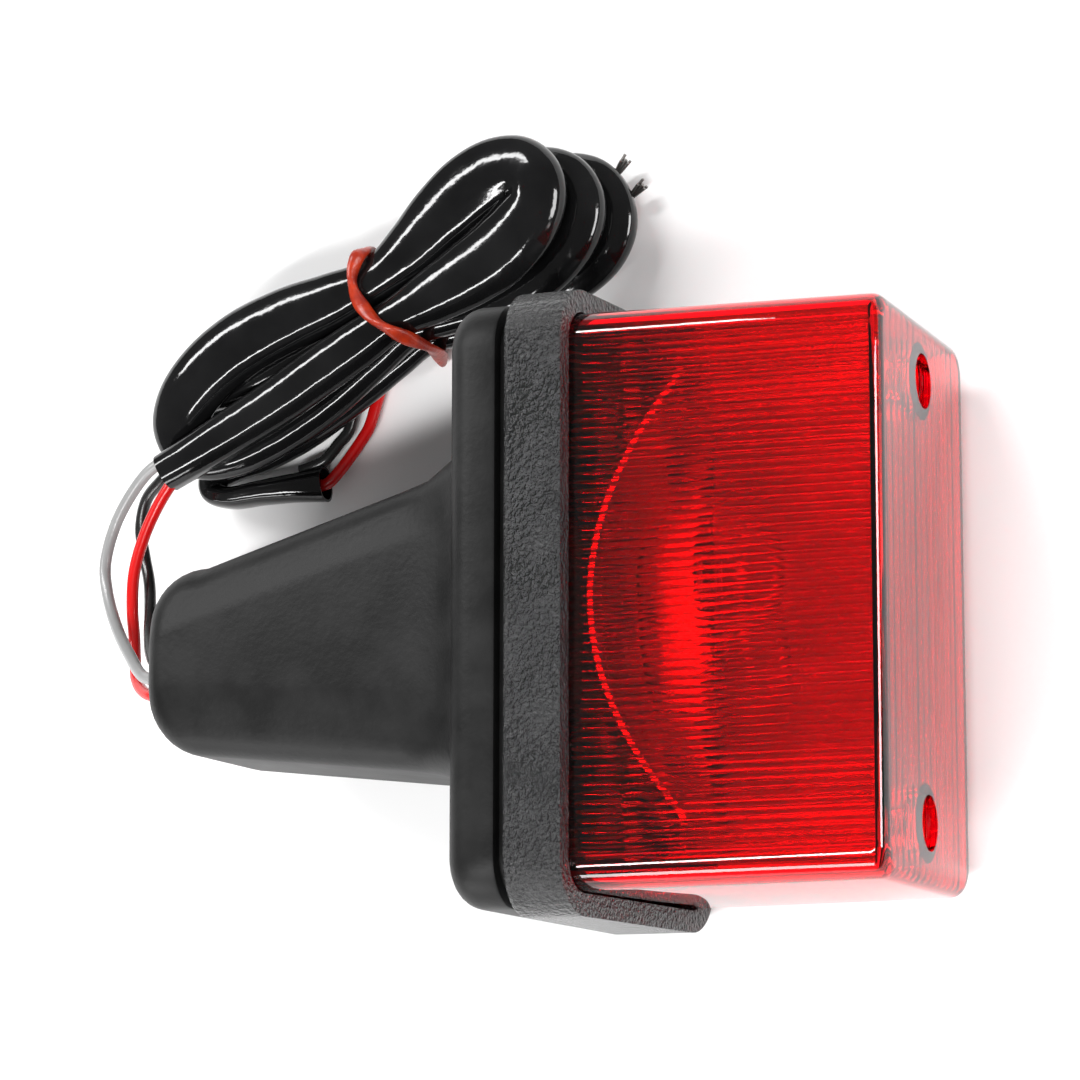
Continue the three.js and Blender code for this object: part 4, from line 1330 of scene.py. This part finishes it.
@dataclass
class Bulb:
    """The bulb's glass, blown round from its neck, in millimetres."""

    radius: float = 12.5
    neck: float = 6.5
    tip: float = 38
    wall: float = 0.8
    neck_x: float = 9.3
    spring_wire: float = 0.7
    spring_turns: int = 4
    push: float = 2.0

    def build(self) -> None:
        """Makes the glass and the contact spring."""
        glass = turn("bulb_glass_envelope", self.profile(0), sides=64)
        inner = turn("inner", self.profile(self.wall), sides=64)
        cut(glass, inner)
        smooth(glass, 40)
        finish_piece(glass, CLEAR_GLASS, "bulb", "bulb_glass")
        self.build_spring()

    def build_spring(self) -> None:
        """The coil spring behind the contacts, fitted to the CAD spring's box."""
        low, high = (Vector(corner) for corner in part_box("contact_spring"))
        middle = (low + high) / 2
        radius = (high.y - low.y) / 2 - self.spring_wire / 2 * MM
        inset = self.spring_wire / 2 * MM
        count = 24 * self.spring_turns
        points = []
        for i in range(count + 1):
            angle = 2 * math.pi * self.spring_turns * i / count
            x = low.x + inset + (high.x - low.x - 2 * inset) * i / count
            y = middle.y + radius * math.cos(angle)
            points.append(Vector((x, y, middle.z + radius * math.sin(angle))))
        spring = wire_along("contact_coil_spring", points, self.spring_wire)
        focus(spring)
        bpy.ops.object.convert(target="MESH")
        spring = bpy.context.object
        finish_piece(spring, STEEL, "lamp_body", "contact_spring")
        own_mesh(spring)

    def profile(self, inset: float) -> list:
        """The glass's outline, or its inside's, from the neck to the tip.

        Args:
            inset: how far inside the glass's outside it lies.

        Returns:
            (place along X, radius) pairs.
        """
        radius, neck, tip = self.radius - inset, self.neck - inset, self.tip - inset
        start = math.asin(neck / radius)
        centre = tip - radius
        steps = 16
        arc = []
        for i in range(steps):
            angle = math.pi - start - (math.pi - start - 0.03) * i / (steps - 1)
            arc.append((centre + radius * math.cos(angle), radius * math.sin(angle)))
        return [(self.neck_x - (1 if inset else 0), neck), *arc]


# ---- rubber mount ----


@dataclass
class RubberMount:
    """The moulded mount: a flange behind the housing and a stem that tapers to its foot, in millimetres."""

    flange_length: float = 101
    flange_height: float = 57
    flange_corner: float = 8.5
    flange_back: float = -11.2
    flange_edge: float = 5
    groove: float = 1.8
    groove_depth: float = 2.4
    foot: float = -72.3
    foot_y: float = -5.2
    foot_corner: float = 9
    stem_edge: float = 4.6
    shoulder: float = 2.2
    # Along the lamp's axis: place, near side, far side and half height of the stem.
    stations: tuple = (
        (-72.3, -20.9, 10.4, 17.5), (-62.0, -22.0, 10.9, 17.9), (-24.0, -26.1, 21.9, 19.4),
        (-19.4, -26.8, 23.3, 19.9), (-15.6, -27.6, 24.7, 20.8), (-13.0, -28.6, 26.1, 22.0),
        (-11.2, -30.0, 27.8, 23.8), (-9.0, -31.0, 29.0, 24.6),
    )
    creases: tuple = (((-69.1, -1.0), (-30.0, 10.0)), ((-68.3, -10.0), (-29.8, -13.0)))
    crease_edge: float = 0.9
    insert_spread: float = 20
    insert_radius: float = 3.5
    insert_bore: float = 2.5
    plate_room: tuple = (84.6, 44.6)
    nut_room: float = 10.6
    nut_spread: float = 52
    insert_room: float = 7.6
    grommet_room: float = 9.6
    hollow_back: float = -66
    hollow_half: tuple = (18, 14)

    def build(self) -> None:
        """Makes the mount and the pieces seen in its foot."""
        self.build_mount()
        self.build_foot_pieces()

    def build_stem(self) -> bpy.types.Object:
        """The stem, drawn out station by station, with a flat panel on top between two soft creases.

        Returns:
            The stem.
        """
        x0, low0, high0, half0 = self.stations[0]
        deselect_all()
        bpy.ops.mesh.primitive_plane_add(size=1, location=lamp_point(x0, (low0 + high0) / 2, 0),
                                         rotation=(0, math.pi / 2, 0))
        bpy.context.object.scale = (2 * half0 * MM, (high0 - low0) * MM, 1)
        stem = just_made("stem")
        enter_edit(stem, everything=True)
        for near, ahead in zip(self.stations, self.stations[1:]):
            (xa, low_a, high_a, half_a), (xb, low_b, high_b, half_b) = near, ahead
            middle = (low_b + high_b) / 2
            step = ((xb - xa) * MM, (middle - (low_a + high_a) / 2) * MM, 0)
            scale = (1, (high_b - low_b) / (high_a - low_a), half_b / half_a)
            draw_out(step, scale, lamp_point(xb, middle, 0))
        self.crease_top()
        self.round_stem()
        leave_edit(outward=True)
        return stem

    def is_outer(self, at: Vector) -> bool:
        """Whether a point of the stem lies on its far or near side.

        Args:
            at: the point, in metres.

        Returns:
            True on either side.
        """
        x = at.x / MM - LAMP_X
        for (xa, low_a, high_a, _), (xb, low_b, high_b, _) in zip(self.stations, self.stations[1:]):
            if xa - 0.01 <= x <= xb + 0.01:
                share = (x - xa) / (xb - xa)
                low = low_a + (low_b - low_a) * share
                high = high_a + (high_b - high_a) * share
                return at.y / MM < low + 0.05 or at.y / MM > high - 0.05
        return False

    def crease_top(self) -> None:
        """Cuts the two creases and lets the shoulders beside them fall. The stem is in edit mode."""
        stem = bpy.context.object
        for start, end in self.creases:
            along = lamp_point(*end, 0) - lamp_point(*start, 0)
            bpy.ops.mesh.select_all(action="SELECT")
            bpy.ops.mesh.bisect(plane_co=lamp_point(*start, 0), plane_no=(along.y, -along.x, 0))
        limit = lamp_point(self.flange_back - 5, 0, 0).x
        select_in_edit(stem, "VERT", lambda v: (
            v.co.z > AXIS_Z * MM and self.is_outer(v.co) and v.co.x < limit))
        bpy.ops.transform.translate(value=(0, 0, -self.shoulder * MM))

    def round_stem(self) -> None:
        """Rounds the foot, the long edges and the creases. The stem is in edit mode."""
        stem = bpy.context.object
        foot_x = lamp_point(self.foot, 0, 0).x
        select_in_edit(stem, "EDGE", lambda e: (
            all(abs(v.co.x - foot_x) < SAME and self.is_outer(v.co) for v in e.verts)
            and abs(e.verts[0].co.y - e.verts[1].co.y) < 10 * SAME))
        bevel_selected(self.foot_corner, 8)
        select_in_edit(stem, "EDGE", lambda e: (
            e.calc_face_angle(0) > math.radians(52)
            and min(v.co.x for v in e.verts) < lamp_point(self.flange_back - 0.1, 0, 0).x))
        bevel_selected(self.stem_edge, 7)
        for start, end in self.creases:
            origin = lamp_point(*start, 0)
            along = (lamp_point(*end, 0) - origin).normalized()
            across = Vector((along.y, -along.x, 0))
            select_in_edit(stem, "EDGE", lambda e, o=origin, n=across: (
                all(abs((v.co - o).dot(n)) < 1e-5 and v.co.z > AXIS_Z * MM for v in e.verts)
                and e.calc_face_angle(0) > math.radians(3)))
            bevel_selected(self.crease_edge, 2, clamp=True)

    def build_mount(self) -> None:
        """The flange with its back edge rounded, the lip behind the groove, the stem and the hollow."""
        mount = lamp_block("rubber_stem_mount", self.flange_length, self.flange_height,
                           self.flange_back, -self.groove)
        round_corners_x(mount, self.flange_corner, 10)
        round_end(mount, Axis.X, lamp_point(self.flange_back, 0, 0).x, self.flange_edge, 8)
        soften(mount, 0.6, 2, 60)
        inner = 2 * self.groove_depth
        lip = lamp_block("lip", self.flange_length - inner, self.flange_height - inner, -5, -GAP)
        round_corners_x(lip, self.flange_corner - self.groove_depth, 10)
        add(mount, lip)
        add(mount, self.build_stem())
        plate = lamp_block("plate_room", *self.plate_room, -2.6, 1)
        half_y, half_z = self.hollow_half
        far = lamp_point(self.hollow_back, 0, 0)
        hollow = block("hollow", lamp_point(self.hollow_back, -half_y, -half_z),
                       lamp_point(1, half_y, half_z))
        scale_at(hollow, far.x, (1, 14 / 36, 12 / 28), far, (0, self.foot_y * MM, 0))
        cut(mount, plate, hollow)
        for side in SIDES:
            cut(mount, rod("nut_room", self.nut_room, -8.3, 0, side * self.nut_spread / 2),
                rod("insert_room", self.insert_room, self.foot - 1, self.foot + 10.1, self.foot_y,
                    side * self.insert_spread / 2))
        cut(mount, rod("grommet_room", self.grommet_room, self.foot - 1, -60, self.foot_y))
        smooth(mount, 32)
        finish_piece(mount, MOUNT_RUBBER, "lamp_body", "rubber_mount")

    def build_foot_pieces(self) -> None:
        """The two thread inserts and the wire grommet in the foot."""
        start = self.foot + GAP
        wide, bore = self.insert_radius, self.insert_bore
        for name, side in NAMED_SIDES:
            z = side * self.insert_spread / 2
            insert = turn(f"stem_insert_{name}_bush", [
                (start, wide - 0.3), (start + 0.3, wide), (start + 9.2, wide), (start + 9.5, wide - 0.3)],
                self.foot_y, z)
            cut(insert, turn("bore", [
                (start - 1, bore + 0.4), (start, bore + 0.4), (start + 0.45, bore), (start + 11, bore)],
                self.foot_y, z))
            smooth(insert)
            finish_piece(insert, BRASS, "lamp_body", f"stem_insert_{name}")
        lip = self.hollow_back + GAP
        grommet = turn("wire_grommet_bush", [
            (start, 4.2), (start + 0.3, 4.5), (lip, 4.5), (lip + 0.01, 5.7), (lip + 1.1, 5.7),
            (lip + 1.4, 5.4)], self.foot_y)
        cut(grommet, rod("grommet_bore", 6.8, self.foot - 1, -50, self.foot_y))
        smooth(grommet)
        finish_piece(grommet, SEAL_RUBBER, "lamp_body", "wire_grommet")


# ---- hidden hardware, carried over from the model ----


@dataclass
class HiddenHardware:
    """The CAD nodes that stay as they are, with their finishes."""

    finishes: dict = field(default_factory=lambda: {
        BRASS: ("screw_insert_upper", "screw_insert_lower", "socket_contact_upper", "socket_contact_lower",
                "bulb_cap"),
        STEEL: ("socket_shell", "bulb_filaments", "mount_bolt_upper", "mount_bolt_lower",
                "mount_washer_upper", "mount_washer_lower", "weld_nut_upper", "weld_nut_lower",
                "mount_plate"),
        INSULATOR: ("contact_carrier", "bulb_base"),
        GREY_WIRE: ("inner_lead_grey",),
        RED_WIRE: ("inner_lead_red",),
        BLACK_WIRE: ("inner_lead_black",),
    })

    def dress(self) -> None:
        """Gives each node its finish."""
        for look, names in self.finishes.items():
            for name in names:
                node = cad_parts[name]
                node.data.materials.clear()
                node.data.materials.append(look.material())


def main() -> None:
    """Builds the studio and every piece in order."""
    logging.basicConfig(level=logging.INFO, format="%(name)s: %(message)s")
    deselect_all()
    studio = Studio()
    studio.set_camera()
    LOG.info("camera set")
    for label, maker in (("harness", Harness()), ("studio", studio), ("lens", Lens()),
                         ("housing", Housing()), ("bulb", Bulb()), ("rubber mount", RubberMount())):
        maker.build()
        LOG.info("%s built", label)
    HiddenHardware().dress()
    LOG.info("hidden hardware dressed")


if __name__ == "__main__":
    main()
